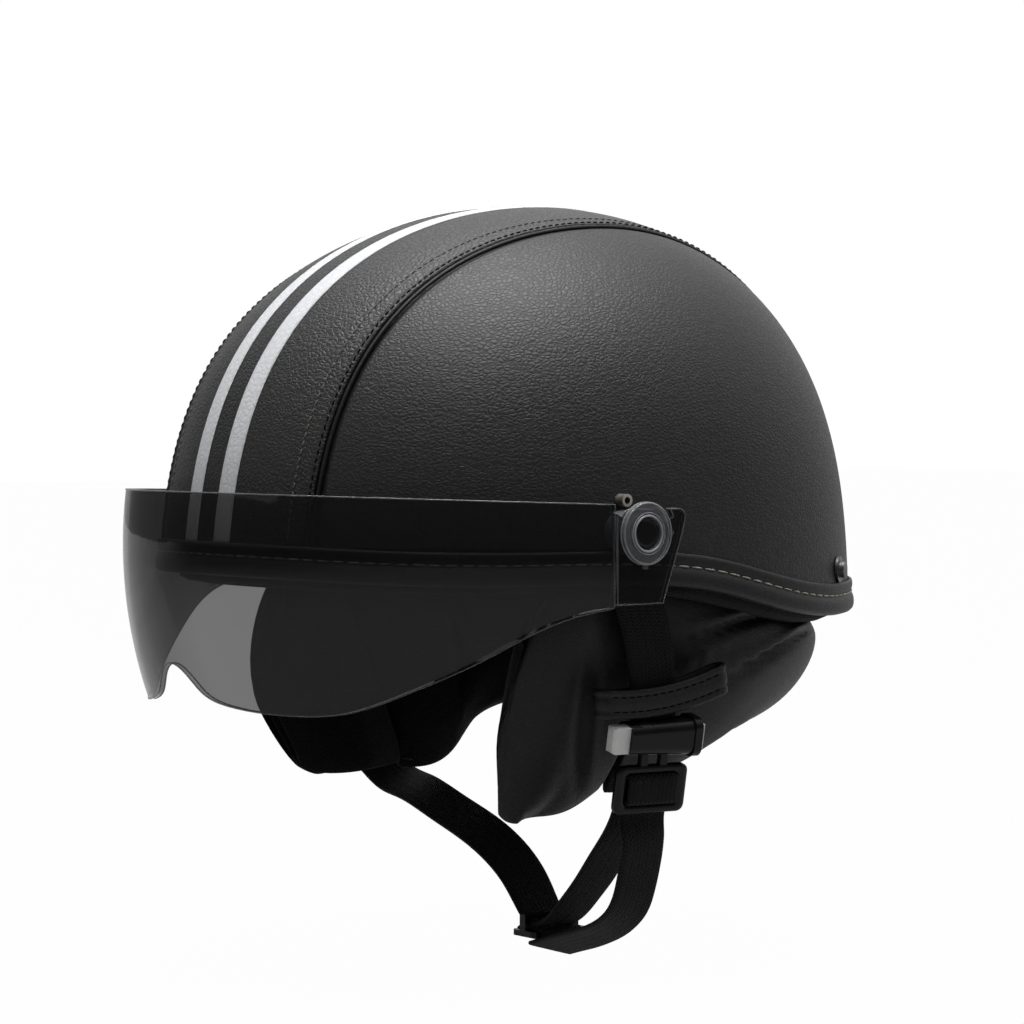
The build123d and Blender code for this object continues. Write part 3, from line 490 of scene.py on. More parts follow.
def plastic(name, color, rough, grain=0.0004, depth=0.00003, tone=0.12, **sockets):
    """Moulded plastic: fine moulded texture, faint flow marks and handling shine."""
    mat, tree, shader = look_of(name, color, rough, **sockets)
    vector = place_of(tree)
    flow = noise(vector, 90, 3, 0.55, 0.8)
    pale = tuple(min(1, c * (1 + tone) + tone * 0.01) for c in color)
    deep = tuple(c * (1 - tone) for c in color)
    feed(shader, Base_Color=ramp(flow, (0.3, deep), (0.7, pale)),
         Roughness=spread(flow, rough * 0.85, rough * 1.2, 0.3, 0.7))
    bump(shader, noise(vector, 1 / grain, 2), depth)
    return mat


def metal(name, color, rough):
    """Plated metal: fine lines, dull spots and slight darkening."""
    mat, tree, shader = look_of(name, color, rough, 1)
    vector = place_of(tree)
    spots = noise(vector, 260, 3, 0.6)
    deep = tuple(c * 0.72 for c in color)
    feed(shader, Base_Color=ramp(spots, (0.35, deep), (0.6, color)),
         Roughness=spread(spots, rough * 1.5, rough * 0.8, 0.3, 0.7))
    bump(shader, noise(vector, 1500, 3, 0.6), 0.00002)
    return mat


def cloth(name, dark, pale, pitch, depth, sheen):
    """Knitted lining: small loops in rows, with fuzz and slow changes of tone; the gaps between loops are
    painted darker as shade.
    """
    mat, tree, shader = look_of(name, pale, 0.85, Sheen_Weight=sheen, Sheen_Roughness=0.4,
                                Specular_IOR_Level=0.2)
    vector = place_of(tree)
    cells = node(tree, "TexVoronoi", feature="F1", Vector=vector, Scale=1 / pitch, Randomness=0.35)
    loop = spread(cells.outputs["Distance"], 1, 0, 0, 0.7)
    bump(shader, plus(loop, times(noise(vector, 3 / pitch), 0.5)), depth)
    # The gaps between the loops take the dark colour: painted shade, times slow random changes of tone.
    tone = times(loop, spread(noise(vector, 40), 0.6, 1.1, 0.3, 0.7))
    feed(shader, Base_Color=ramp(tone, (0.1, dark), (0.9, pale)))
    return mat


def ridges(value, pitch):
    """Rounded ridges, from 0 to 1 and back along a value."""
    return math_of("ABSOLUTE", math_of("SINE", times(value, pitch)))


def webbing_look(name, dark, pale):
    """Woven tape: slanted ribs in columns that lean to and fro, from the mesh's own length and width; the
    grooves between ribs are painted darker as shade.
    """
    mat, tree, shader = look_of(name, pale, 0.72, Specular_IOR_Level=0.15, Sheen_Weight=0.04,
                                Sheen_Roughness=0.5)
    uv = node(tree, "UVMap", uv_map="tape").outputs["UV"]
    wide, long, _ = node(tree, "SeparateXYZ", Vector=uv).outputs
    run = plus(times(long, 1 / TAPE_RIB), math_of("PINGPONG", times(wide, 1 / TAPE_COLUMN), 1))
    rib, column = ridges(run, math.pi), ridges(wide, math.pi / TAPE_COLUMN)
    weave = plus(times(rib, 0.7), times(column, 0.3))
    vector = place_of(tree)
    bump(shader, plus(weave, times(noise(vector, 2600, 2), 0.25)), 0.00032)
    # The grooves between the ribs take the dark colour: painted shade, times slow random changes of tone.
    tone = times(weave, spread(noise(vector, 60), 0.7, 1.1, 0.3, 0.7))
    feed(shader, Base_Color=ramp(tone, (0.15, dark), (0.9, pale)))
    return mat


def thread_look(name, dark, pale, sheen=0.2):
    mat, tree, shader = look_of(name, pale, 0.6, Sheen_Weight=sheen, Specular_IOR_Level=sheen)
    twist = noise(place_of(tree), 1400, 2, 0.6, 1.5)
    feed(shader, Base_Color=ramp(twist, (0.3, dark), (0.65, pale)))
    bump(shader, twist, 0.0001)
    return mat


def clear_look(name, color, alpha, slant, rough, gloss):
    """See-through plastic, denser where it is seen at a slant, with faint smears."""
    mat, tree, shader = look_of(name, color, rough, Specular_IOR_Level=gloss)
    facing = node(tree, "LayerWeight", Blend=0.5).outputs["Facing"]
    vector = place_of(tree)
    smear = noise(vector, 35, 4, 0.6, 1.2)
    deep = tuple(c * 0.7 for c in color)
    feed(shader, Alpha=spread(facing, alpha, slant, 0.3, 1),
         Roughness=spread(smear, rough * 0.6, rough * 2, 0.35, 0.75),
         Base_Color=ramp(smear, (0.3, deep), (0.7, color)))
    bump(shader, noise(vector, 22, 1), 0.0002, 0.2)
    return mat


hide_strip = leather("hide_strip", (0.002, 0.002, 0.0025), (0.011, 0.011, 0.0125), (0.42, 0.56), 0.0016,
                     0.00015, (1, 0.8, 1.1), wander=0.45, gloss=0.48)
hide_side = leather("hide_side", (0.003, 0.003, 0.0035), (0.012, 0.012, 0.0135), (0.44, 0.56), 0.0015,
                    0.0001, (1, 0.8, 1.15), (0.5, 0, 0), gloss=0.38)
vinyl = leather("smooth_vinyl", (0.006, 0.006, 0.007), (0.0135, 0.0135, 0.015), (0.4, 0.52), 0.0011,
                0.00008, wander=0.9, gloss=0.2)
vinyl_trim = leather("trim_vinyl", (0.008, 0.008, 0.009), (0.016, 0.016, 0.018), (0.42, 0.54), 0.0009,
                     0.00007, wander=0.9, gloss=0.25)
vinyl_cord = leather("cord_vinyl", (0.004, 0.004, 0.005), (0.011, 0.011, 0.0125), (0.36, 0.5), 0.0008,
                     0.00006, gloss=0.25)
stripe_film = leather("stripe_film", (0.62, 0.63, 0.65), (0.7, 0.71, 0.73), (0.42, 0.55), 0.0023,
                      0.00007, (1, 0.8, 1.15), gloss=0.2)
lining = cloth("lining_cloth", (0.002, 0.002, 0.0025), (0.01, 0.01, 0.011), 0.0009, 0.0003, 0.05)
foam = cloth("foam_beads", (0.02, 0.02, 0.022), (0.06, 0.06, 0.065), 0.0035, 0.0006, 0)
tape = webbing_look("webbing", (0.001, 0.001, 0.0015), (0.009, 0.009, 0.01))
cream_thread = thread_look("cream_thread", (0.24, 0.23, 0.19), (0.52, 0.5, 0.42))
olive_thread = thread_look("olive_thread", (0.05, 0.045, 0.03), (0.16, 0.14, 0.09))
dark_thread = thread_look("dark_thread", (0.001, 0.001, 0.001), (0.004, 0.004, 0.004), 0.02)
smoked = clear_look("smoked_plastic", (0.003, 0.0035, 0.0045), 0.61, 0.8, 0.03, 0.4)
clear = clear_look("clear_plastic", (0.27, 0.275, 0.29), 0.3, 0.8, 0.1, 0.8)
# Pale, nearly opaque plastic for the clear ring's rims: a painted highlight.
clear_glint_paint = clear_look("clear_glint_paint", (0.5, 0.51, 0.53), 0.75, 1, 0.2, 0.6)
# Pale plastic for the lines along the visor's cut edge: a painted highlight.
smoked_glint_paint = clear_look("smoked_glint_paint", (0.15, 0.155, 0.165), 0.6, 1, 0.2, 0.6)
shell_plastic = plastic("shell_plastic", (0.02, 0.02, 0.021), 0.3, 0.004, 0.0001)
cap_plastic = plastic("cap_plastic", (0.0015, 0.0015, 0.002), 0.16, Specular_IOR_Level=0.25)
buckle_plastic = plastic("buckle_plastic", (0.0025, 0.0025, 0.003), 0.27, 0.0005, 0.00004,
                         Specular_IOR_Level=0.2)
white_plastic = plastic("white_plastic", (0.85, 0.85, 0.84), 0.4, 0.0008, 0.00003, 0.05)
zinc = metal("zinc_steel", (0.62, 0.63, 0.64), 0.34)
nickel = metal("nickel", (0.82, 0.76, 0.67), 0.3)
gunmetal = metal("gunmetal", (0.15, 0.15, 0.155), 0.36)
spring_steel = metal("spring_steel", (0.7, 0.7, 0.7), 0.25)


# CAD nodes that stay, with better surfaces

def dress(look, *names):
    for name in names:
        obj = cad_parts[name]
        if not obj.material_slots:
            obj.data.materials.append(look)
        for slot in obj.material_slots:
            slot.material = look


def both(name):
    return [name + "_left", name + "_right"]


dress(shell_plastic, "outer_shell")
dress(foam, "impact_foam")
dress(smoked, "visor")
dress(clear, *both("pivot_ring"), *both("pivot_spacer"))
dress(cap_plastic, *both("pivot_screw"))
dress(zinc, *both("pivot_nut"), *both("anchor_plate"))
dress(nickel, *both("stop_post"))
dress(gunmetal, *both("rear_stud"))
dress(buckle_plastic, "buckle_housing", "ladder_tongue", "webbing_slider")
dress(white_plastic, "push_button")


# Leather cover

def hem(x):
    """How far the centre strip stands up over its folded hem."""
    return 0.45 * np.exp(-((np.abs(x) - 42.3) / 1.1) ** 4)


def centre_panel():
    edge = SEAM - 1.3
    x = np.hstack([np.linspace(-edge, -39, 9), np.linspace(-37, 37, 30), np.linspace(39, edge, 9)])
    outer, inner = across_dome(x, 180, hem(x), COVER_LIFT), across_dome(x, 180, COVER_BACK, COVER_LIFT)
    placed(strip("centre_leather_panel", outer, inner, hide_strip), "pebbled_leather", "centre_leather")


def side_panel(side, tag):
    """Panel from the seam down to the rim, its edge turned in a little."""
    seam = across_dome([SEAM + 1.25], 90, 0.0, COVER_LIFT)[0]
    lows, highs = (np.degrees(np.arctan2(p[1] / (FRONT if p[1] < 0 else BACK), p[0] / HALF))
                   for p in (seam[0], seam[-1]))
    low_edge = around([(0.0, COVER_LIFT, 0.0)], 92, lows, highs)[:, 0][1:-1]
    ring = np.vstack([seam, low_edge[::-1]])
    share = np.hstack([np.linspace(0.02, 0.9, 26), [0.94, 0.97, 0.985, 1.0]])[:, None, None]
    grid = PANEL_MIDDLE + (ring[None] - PANEL_MIDDLE) * share
    way = unit(grid - PANEL_EYE)
    dip = np.interp(share, [0, 0.97, 0.985, 1.0], [0, 0, -0.05, -0.35])[..., 0]
    outer = cast(PANEL_EYE, way, np.broadcast_to(dip, grid.shape[:2])) * (side, 1, 1)
    inner = cast(PANEL_EYE, way, COVER_BACK) * (side, 1, 1)
    rows, columns = outer.shape[:2]
    skin = grid_faces(rows, columns, wrap_columns=True) + [tuple(range(columns))]
    edge = list(range((rows - 1) * columns, rows * columns))
    obj = two_skins("side_leather_panel_" + tag, outer, inner, skin, edge, hide_side)
    placed(obj, "pebbled_leather", "side_leather_" + tag)


def piping(side, tag):
    path = across_dome([SEAM], 220, PIPING_SINK, COVER_LIFT)[0] * (side, 1, 1)
    obj = tube_along("seam_piping_" + tag, path, normals_of(path), PIPING_RADIUS, vinyl_cord)
    placed(obj, "piping_vinyl", "piping_" + tag)


def stripe(side, tag):
    x = np.linspace(STRIPE_IN, STRIPE_OUT, 9)
    lift = np.where((x == x[0]) | (x == x[-1]), 0.12, 0.33)
    outer, inner = (across_dome(x, 200, height, STRIPE_LIFT) * (side, 1, 1) for height in (lift, 0.03))
    obj = strip("silver_stripe_" + tag, outer, inner, stripe_film)
    placed(obj, "silver_stripe", "stripe_" + tag)


def stitches(name, path, normals, length, gap, radius, look, slot, closed=False, raised=0.35):
    """A row of single stitches, each sunk at its ends."""
    if closed:
        path, normals = np.vstack([path, path[:1]]), np.vstack([normals, normals[:1]])
    run = run_along(path)
    number = max(1, int(run[-1] / (length + gap)))
    pitch = run[-1] / number
    shares, sizes, lifts = STITCH.T
    rings, sides = len(STITCH), 8
    turn = full_turn(sides)[None, None, :, None]
    at = (np.arange(number)[:, None] + 0.5) * pitch + (shares[None] - 0.5) * (pitch - gap)
    centre, up = (np.stack([np.interp(at, run, column) for column in row.T], -1) for row in (path, normals))
    up = unit(up)
    over = unit(np.cross(np.broadcast_to(centre[:, -1:] - centre[:, :1], up.shape), up))
    centre = centre + up * (lifts * raised * radius)[None, :, None]
    ring = np.cos(turn) * up[:, :, None] + np.sin(turn) * over[:, :, None]
    loops = centre[:, :, None] + (sizes * radius)[None, :, None, None] * ring
    faces = []
    for start in range(0, number * rings * sides, rings * sides):
        faces += grid_faces(rings, sides, wrap_columns=True, start=start)
        faces.append(tuple(start + j for j in range(sides)))
        faces.append(tuple(start + rings * sides - 1 - j for j in range(sides)))
    placed(make(name, loops, faces, look), slot)


def seam_rows():
    for side, tag in SIDES:
        for distance, size, look in ((2.1, 0.26, dark_thread), (8.0, 0.24, olive_thread)):
            x = SEAM - distance
            path = across_dome([x], 260, float(hem(np.array([x]))[0]) + 0.05, 12.0)[0] * (side, 1, 1)
            name = f"seam_stitches_{tag}_{round(distance)}"
            stitches(name, path, normals_of(path), 2.1, 0.7, size, look, "piping_vinyl")


# Rim binding

def rim_trim():
    loops = around([(offset, height, 0.0) for offset, height in BINDING], 460)
    placed(loft("rim_binding_band", loops, vinyl_trim, closed=True), "binding_vinyl", "rim_binding")
    path = around([(RIM_STITCH_OFFSET, RIM_STITCH_HEIGHT, 0.0)], 900)[:, 0]
    stitches("rim_stitches", path, normals_of(path), 4.3, 0.95, 0.28, cream_thread, "binding_vinyl",
             closed=True, raised=0.6)


# Liner

def head_band():
    """Padded band with sewn channels, which gives way behind the webbing."""
    loops = around(BAND, BAND_COUNT)
    turn = np.linspace(0, 360, BAND_COUNT, endpoint=False)
    offset = np.array([row[0] for row in BAND])
    from_seam = np.abs(((turn / BAND_SEAM_TURN) % 1) - 0.5) * BAND_SEAM_TURN
    seam = np.maximum(0, 1 - from_seam / BAND_SEAM_WIDTH)
    away = normals_of(loops) * (1, 1, 0.2)
    inner = np.clip((-offset - 23.5) / 4.0, 0, 1)[None]
    loops = loops + away * (seam[:, None] * inner * BAND_SEAM_DEPTH)[..., None]
    from_web = np.abs(360 - turn - WEB_TURN)
    room = np.clip(1.35 - from_web / 9.0, 0, 1)[:, None] * np.clip(offset + 13.0, 0, 99)[None]
    loops = loops - away * room[..., None]
    obj = placed(loft("head_band_pad", loops, lining, closed=True), "lining_cloth", "head_band")


def crown_pad():
    """Quilted round pad under the crown."""
    rings, spokes = 14, 72
    share = np.linspace(0.02, 1.0, rings)[:, None]
    turn = full_turn(spokes)[None]
    plan = np.stack([PAD_RADIUS * share * np.cos(turn), PAD_RADIUS * share * np.sin(turn),
                     np.zeros((rings, spokes))], -1)
    up = np.broadcast_to(np.array([0, 0, 1.0]), plan.shape)
    top, bottom = cast(plan, up, PAD_TOP), cast(plan * (0.97, 0.97, 1), up, PAD_BOTTOM)
    bottom[..., 2] -= QUILT * np.abs(np.sin(3 * turn)) ** 0.25 * np.sin(np.pi * share) ** 0.5
    middle = (top[-1] + bottom[-1]) / 2 * (1.018, 1.018, 1)
    obj = loft("crown_comfort_pad", np.vstack([top, middle[None], bottom[::-1]]), lining)
    placed(obj, "lining_cloth", "crown_pad")


# Ear flaps and neck roll

def skirt_at(turn, offset, depth):
    length = FRONT if turn < 0 else BACK
    angle = math.radians(turn)
    base = rim(length * math.sin(angle))
    return np.array([(HALF + offset) * math.cos(angle), (length + offset) * math.sin(angle), base - depth])


def skirt_loop(station, side):
    turn, top, bottom, tuck, thick, lean = station
    skin, middle = [], []
    for share, full in spline(FULLNESS, 15):
        depth = top + (bottom - top) * share
        centre = -SKIRT_INSET - tuck * (depth / bottom) ** TUCK_POWER - thick / 2
        place = turn + lean * max(0.0, 1 - share / 0.5) ** 1.3
        skin.append(skirt_at(place, centre + side * full * thick / 2, depth))
        middle.append(skirt_at(place, centre + side * 0.2, depth))
    return np.array(skin + middle[::-1])


def flap_rows(front, reach, lean):
    """Stations of a flap. Its top front corner leans back by some degrees."""
    rows = [(front * turn, SKIRT_DROP + reach * top, reach * bottom, FLAP_TUCK * tuck, FLAP_THICK * thick,
             lean * ((-turn - 0.4) / 0.6) ** 1.2) for turn, top, bottom, tuck, thick in FLAP]
    return rows + [(-11.0, SKIRT_DROP, FLAP_DEPTH * 0.98, FLAP_TUCK, FLAP_THICK * 0.92, 0.0)]


def roll_rows(shares):
    """Stations of the roll, from the flap's section to its own."""
    rows = [(-10.4, SKIRT_DROP, FLAP_DEPTH * 0.98, FLAP_TUCK, FLAP_THICK * 0.92, 0.0)]
    for turn, mix in shares:
        bottom = FLAP_DEPTH * 0.98 * (1 - mix) + ROLL_DEPTH * mix
        tuck, thick = FLAP_TUCK * (1 - mix) + ROLL_TUCK * mix, FLAP_THICK * (1 - mix) + ROLL_THICK * mix
        rows.append((90 * turn, SKIRT_DROP, bottom, tuck, thick, 0.0))
    return rows


def skirt_body(rows, side, count):
    loops = np.array([skirt_loop(row, side) for row in rows])
    return spline(loops.reshape(len(rows), -1), count).reshape(count, -1, 3)


def swelled(obj):
    """Where a short cloth simulation moves the mesh's points."""
    soft = obj.modifiers.new("cloth", "CLOTH")
    soft.settings.use_pressure = True
    soft.settings.uniform_pressure_force = PRESSURE
    soft.settings.effector_weights.gravity = 0.0
    for step in range(1, FRAMES + 1):
        scene.frame_set(step)
    shaped = obj.evaluated_get(bpy.context.evaluated_depsgraph_get()).to_mesh()
    moved = np.array([v.co for v in shaped.vertices])
    obj.modifiers.clear()
    scene.frame_set(1)
    return moved


def puffed(obj, cap):
    """The pad swelled by at most the cap, in metres, and one subdivision."""
    mesh = obj.data
    rest = np.array([v.co for v in mesh.vertices])
    moved = swelled(obj)
    step = moved - rest
    size = np.linalg.norm(step, axis=1, keepdims=True)
    step *= np.minimum(1, cap / np.maximum(size, 1e-9))
    mesh.vertices.foreach_set("co", (rest + step).ravel())
    fine = obj.modifiers.new("fine", "SUBSURF")
    fine.levels = fine.render_levels = 1
    bpy.context.view_layer.update()
    done = bpy.data.meshes.new_from_object(obj.evaluated_get(bpy.context.evaluated_depsgraph_get()))
    obj.modifiers.clear()
    obj.data = done
    done.polygons.foreach_set("use_smooth", [True] * len(done.polygons))
    done.update()
    return obj


def crease(obj, folds):
    """Folds pressed into a soft piece where the camera sees it."""
    mesh = obj.data
    count = len(mesh.vertices)
    co, normal = np.empty(count * 3), np.empty(count * 3)
    mesh.vertices.foreach_get("co", co)
    mesh.vertices.foreach_get("normal", normal)
    co, normal = co.reshape(-1, 3) / MM, normal.reshape(-1, 3)
    seen = np.clip((normal @ back_axis) * 3, 0, 1)
    at = pixels(co)
    move = np.zeros(count)
    for points, width, depth, ridge in folds:
        path = spline(points, 40)
        gap = np.linalg.norm(at[:, None] - path[None], axis=2)
        near = gap.argmin(1)
        distance = gap.min(1)
        ends = np.sin(np.pi * (near + 1.5) / 42) ** 0.6
        along = np.gradient(path, axis=0)[near]
        sign = np.sign((at[:, 0] - path[near, 0]) * along[:, 1] - (at[:, 1] - path[near, 1]) * along[:, 0])
        move -= depth * np.exp(-(distance / width) ** 2) * ends
        move += ridge * np.exp(-((distance - 1.7 * width) / width) ** 2) * ends * (sign > 0)
    co = co + normal * (move * seen)[:, None]
    mesh.vertices.foreach_set("co", (co * MM).ravel())
    mesh.update()


def pad(name, node_name, body, way, swell, folds):
    """Soft piece: the outer cover of vinyl, or the cloth lining inside it."""
    look, slot = (vinyl, "smooth_leather") if way > 0 else (lining, "lining_cloth")
    obj = puffed(loft(name, body, look), swell)
    if folds:
        crease(obj, folds)
    placed(obj, slot, node_name)


def skirt():
    """Each flap and the roll, as an outer cover and an inner lining."""
    for side, tag in SIDES:
        for way, node_name, name in ((1, "ear_flap_", "ear_flap_cover_"),
                                     (-1, "ear_pad_", "ear_flap_lining_")):
            body = skirt_body(flap_rows(*FLAP_REACH[tag]), way, 40) * (side, 1, 1)
            folds = FLAP_FOLDS if way > 0 and side > 0 else None
            pad(name + tag, node_name + tag, body, way, FLAP_SWELL, folds)
    for way, node_name, name, folds in ((1, "neck_roll", "neck_roll_cover", ROLL_FOLDS),
                                        (-1, "neck_pad", "neck_roll_lining", None)):
        left, right = (skirt_body(roll_rows(shares), way, 90) for shares in (ROLL_LEFT, ROLL_RIGHT))
        body = np.vstack([left, right[::-1][1:] * (-1, 1, 1)])
        pad(name, node_name, body, way, ROLL_SWELL, folds)


# Webbing

def ribbon_mesh(name, centre, over, section, look, closed=False):
    """Flat band along centres, with its width and length kept for the weave."""
    if closed:
        along = np.roll(centre, -1, 0) - np.roll(centre, 1, 0)
    else:
        along = np.gradient(centre, axis=0)
    along = unit(along)
    over = unit(over - along * (over * along).sum(1, keepdims=True))
    out = np.cross(along, over)
    shape = np.array(section)
    loops = centre[:, None] + shape[None, :, :1] * over[:, None] + shape[None, :, 1:] * out[:, None]
    obj = loft(name, loops, look, closed=closed)
    run = run_along(centre)
    layer = obj.data.uv_layers.new(name="tape")
    for loop in obj.data.loops:
        row, column = divmod(loop.vertex_index, len(shape))
        layer.data[loop.index].uv = (shape[column, 0], run[row])
    return obj


def ribbon(name, route, across, count):
    """Tape along a route of centres."""
    path = spline(np.hstack([route, ACROSS_WEIGHT * np.array(across)]), count)
    return ribbon_mesh(name, path[:, :3], path[:, 3:], TAPE_SECTION, tape)


def upper_webbing():
    placed(ribbon("upper_tape_left", HANG, HANG_ACROSS, 60), "black_webbing", "upper_webbing_left")
    route = [(-x, y, z) for x, y, z in HANG[:3]] + CHIN_RIGHT
    right = ribbon("upper_tape_right", route, HANG_RIGHT_ACROSS, 110)
    placed(right, "black_webbing", "upper_webbing_right")


def tongue_tape(name, node_name, route, across, count):
    """Tape along a route that reaches the tongue at one end."""
    obj = ribbon(name, route, across, count)
    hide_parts(node_name)
    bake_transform(obj)


# Buckle

BUCKLE_TURN = axis_turn("Z", BUCKLE_TILT[0]) @ axis_turn("Y", BUCKLE_TILT[1])
BUCKLE_ACROSS = BUCKLE_TURN[:, 1]


def buckle(points):
    return BUCKLE_CENTRE + np.asarray(points, float) @ BUCKLE_TURN.T


def rounded_corners(half_wide, half_high, corner):
    """Outline of a rounded rectangle, the same number of points for every size."""
    points = []
    for wide, high, start in ((1, 1, 0), (-1, 1, 90), (-1, -1, 180), (1, -1, 270)):
        for turn in np.radians(np.linspace(start, start + 90, 7)):
            points.append((wide * (half_wide - corner) + corner * math.cos(turn),
                           high * (half_high - corner) + corner * math.sin(turn)))
    return np.array(points)


def blocks(corners, bevel):
    """Blocks with rounded edges, in the buckle's axes."""
    work = bmesh.new()
    for low, high in corners:
        size, middle = Vector(high) - Vector(low), (Vector(high) + Vector(low)) / 2
        place = Matrix.Translation(middle) @ Matrix.Diagonal((*size, 1))
        made = bmesh.ops.create_cube(work, size=1.0, matrix=place)
        edges = list({edge for vert in made["verts"] for edge in vert.link_edges})
        bmesh.ops.bevel(work, geom=edges, offset=bevel, segments=2, affect="EDGES")
    work.verts.index_update()
    points, faces = [tuple(v.co) for v in work.verts], [[v.index for v in face.verts] for face in work.faces]
    work.free()
    return np.array(points), faces


def ladder_frame():
    """Tongue and ladder: a thick rounded frame round the webbing, with its blade and bar."""
    outer, inner = rounded_corners(13.5, 8.2, 2.6)[:, None], rounded_corners(9.6, 5.4, 1.2)[:, None]
    share, lift = (np.array(column)[None, :, None] for column in zip(*LADDER_SECTION))
    flat = outer + (inner - outer) * share
    loops = np.concatenate([np.broadcast_to(lift, flat.shape[:2] + (1,)), flat], -1) + (0, 0, LADDER_MIDDLE)
    points, block_faces = blocks(BLADE, 0.3)
    start = loops.shape[0] * loops.shape[1]
    faces = grid_faces(*loops.shape[:2], wrap_rows=True, wrap_columns=True)
    faces += [[start + v for v in face] for face in block_faces]
    points = buckle(np.vstack([loops.reshape(-1, 3), points]))
    obj = make("ladder_frame", points, faces, buckle_plastic, sharp=50)
    placed(obj, "buckle_black", "ladder_tongue", body="buckle_tongue")


def wrap(name, outline, place, across, scale):
    """A turn of webbing round a bar: its outline in the plane of the bar's own axes."""
    loop = place(np.stack([outline[:, 0], np.zeros(len(outline)), outline[:, 1]], -1))
    return ribbon_mesh(name, loop, across, TAPE_SECTION * scale, tape, closed=True)


def slider_wrap():
    """A turn of webbing round the slider's plate."""
    low, high = (np.array(corner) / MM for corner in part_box("webbing_slider"))
    middle = (low + high) / 2
    middle[2] = low[2] + SLIDER_PLATE[1] / 2
    outline = rounded_corners(SLIDER_PLATE[0] / 2 + 0.6, SLIDER_PLATE[1] / 2 + 0.5, 1.0)
    obj = wrap("slider_tape", outline, lambda points: middle + points, LEVEL, (1.0, 0.6))
    placed(obj, "black_webbing", body="tail_slider")


def wrap_tape():
    """The turn of the webbing round the ladder's bar."""
    outline = rounded_corners(2.1, 4.5, 1.2) + (0, LADDER_MIDDLE)
    obj = wrap("wrap_tape", outline, buckle, BUCKLE_ACROSS, (1.07, 1.0))
    placed(obj, "black_webbing", "webbing_wrap", body="buckle_tongue")


def button_spring():
    turn = np.linspace(0, 2 * np.pi * SPRING_TURNS, 90)
    path = buckle(np.stack([SPRING_X + SPRING_RADIUS * np.cos(turn), np.linspace(-10.9, -7.8, 90),
                            SPRING_Z + SPRING_RADIUS * np.sin(turn)], -1))
    obj = tube_along("button_coil", path, BUCKLE_ACROSS, 0.28, spring_steel, 8)
    placed(obj, "spring_wire", "button_spring")
    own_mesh(obj)


# Painted highlights along the edges of the see-through pieces

def sharp_chains(mesh):
    """Runs of points along the mesh's sharp edges."""
    work = bmesh.new()
    work.from_mesh(mesh)
    bmesh.ops.remove_doubles(work, verts=work.verts, dist=1e-6)
    left = {edge for edge in work.edges if len(edge.link_faces) == 2 and edge.calc_face_angle() > 1.0}
    chains = []
    while left:
        start = min(left, key=lambda edge: edge.index)
        left.discard(start)
        chain = list(start.verts)
        while True:
            step = [edge for edge in chain[-1].link_edges if edge in left]
            if not step:
                break
            left.discard(step[0])
            chain.append(step[0].other_vert(chain[-1]))
        chains.append([tuple(vert.co) for vert in chain])
    work.free()
    return chains


def visor_edge_glints():
    """Thin pale lines where the sheet's faces meet its cut edge: a painted highlight of the polished edge."""
    lines = bpy.data.curves.new("visor_glint_lines", "CURVE")
    lines.dimensions, lines.bevel_depth, lines.bevel_resolution = "3D", 0.26 * MM, 1
    for chain in sharp_chains(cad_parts["visor"].data):
        run = lines.splines.new("POLY")
        run.points.add(len(chain) - 1)
        run.points.foreach_set("co", [value for point in chain for value in (*point, 1.0)])
    source = linked("visor_glint_lines", lines)
    bpy.context.view_layer.update()
    mesh = bpy.data.meshes.new_from_object(source.evaluated_get(bpy.context.evaluated_depsgraph_get()))
    bpy.data.objects.remove(source)
    mesh.materials.clear()
    mesh.materials.append(smoked_glint_paint)
    placed(linked("visor_edge_glints", mesh), "smoked_plastic", body="visor_sheet")


def ring_glint_rims(side, tag):
    """Raised rims and turned steps of the clear ring, coloured pale as painted highlights."""
    low, high = (np.array(corner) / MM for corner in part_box("pivot_ring_" + tag))
    face = high[0] if side > 0 else low[0]
    turn = full_turn(72)
    for number, (radius, depth, thick) in enumerate(RING_GLINT_RIMS):
        level = face - side * depth
        path = np.stack([0 * turn, radius * np.cos(turn), radius * np.sin(turn)], -1) + (level, *PIVOT)
        loops = round_loops(path, (side, 0.0, 0.0), (path - (level, *PIVOT)) / radius, thick, 8)
        obj = loft(f"ring_glint_rim_{tag}_{number}", loops, clear_glint_paint, closed=True)
        placed(obj, "clear_plastic")


# Keeper loops

def keeper_sag(share):
    """The band hangs down at its middle and rises towards the back."""
    return 0.2 + 1.1 * share - 2.2 * (1 - share ** 2)


def keeper(side, tag):
    """Stitched leather band round the webbing."""
    half, bend = KEEPER_HALF, KEEPER_BEND
    straight, arc = np.linspace(-half, half, 20), np.radians(np.linspace(12, 168, 14))
    loop = [(bend, y) for y in straight]
    loop += [(bend * math.cos(a), half + bend * math.sin(a)) for a in arc]
    loop += [(-bend, -y) for y in straight]
    loop += [(-bend * math.cos(a), -half - bend * math.sin(a)) for a in arc]
    loop = np.array(loop)
    turn = axis_turn("Z", KEEPER_TILT[0]) @ axis_turn("X", KEEPER_TILT[1])

    def put(points):
        return (points @ turn.T + KEEPER_CENTRE) * (side, 1, 1)

    path = np.stack([loop[:, 0], loop[:, 1], keeper_sag(loop[:, 1] / half)], -1)
    over = turn[:, 2] * (side, 1, 1)
    obj = ribbon_mesh("keeper_band_" + tag, put(path), over, KEEPER_SECTION, vinyl_trim, closed=True)
    placed(obj, "smooth_leather", "keeper_loop_" + tag)
    reach = np.linspace(-half, half, 40)
    for number, height in enumerate((-KEEPER_ROW, KEEPER_ROW)):
        row = put(np.stack([np.full(40, bend + 0.55), reach, height + keeper_sag(reach / half)], -1))
        up = np.broadcast_to(turn[:, 0] * (side, 1, 1), row.shape)
        name = f"keeper_stitches_{tag}_{number}"
        stitches(name, row, up, 2.2, 0.7, 0.24, dark_thread, "smooth_leather")


# Stage, in metres

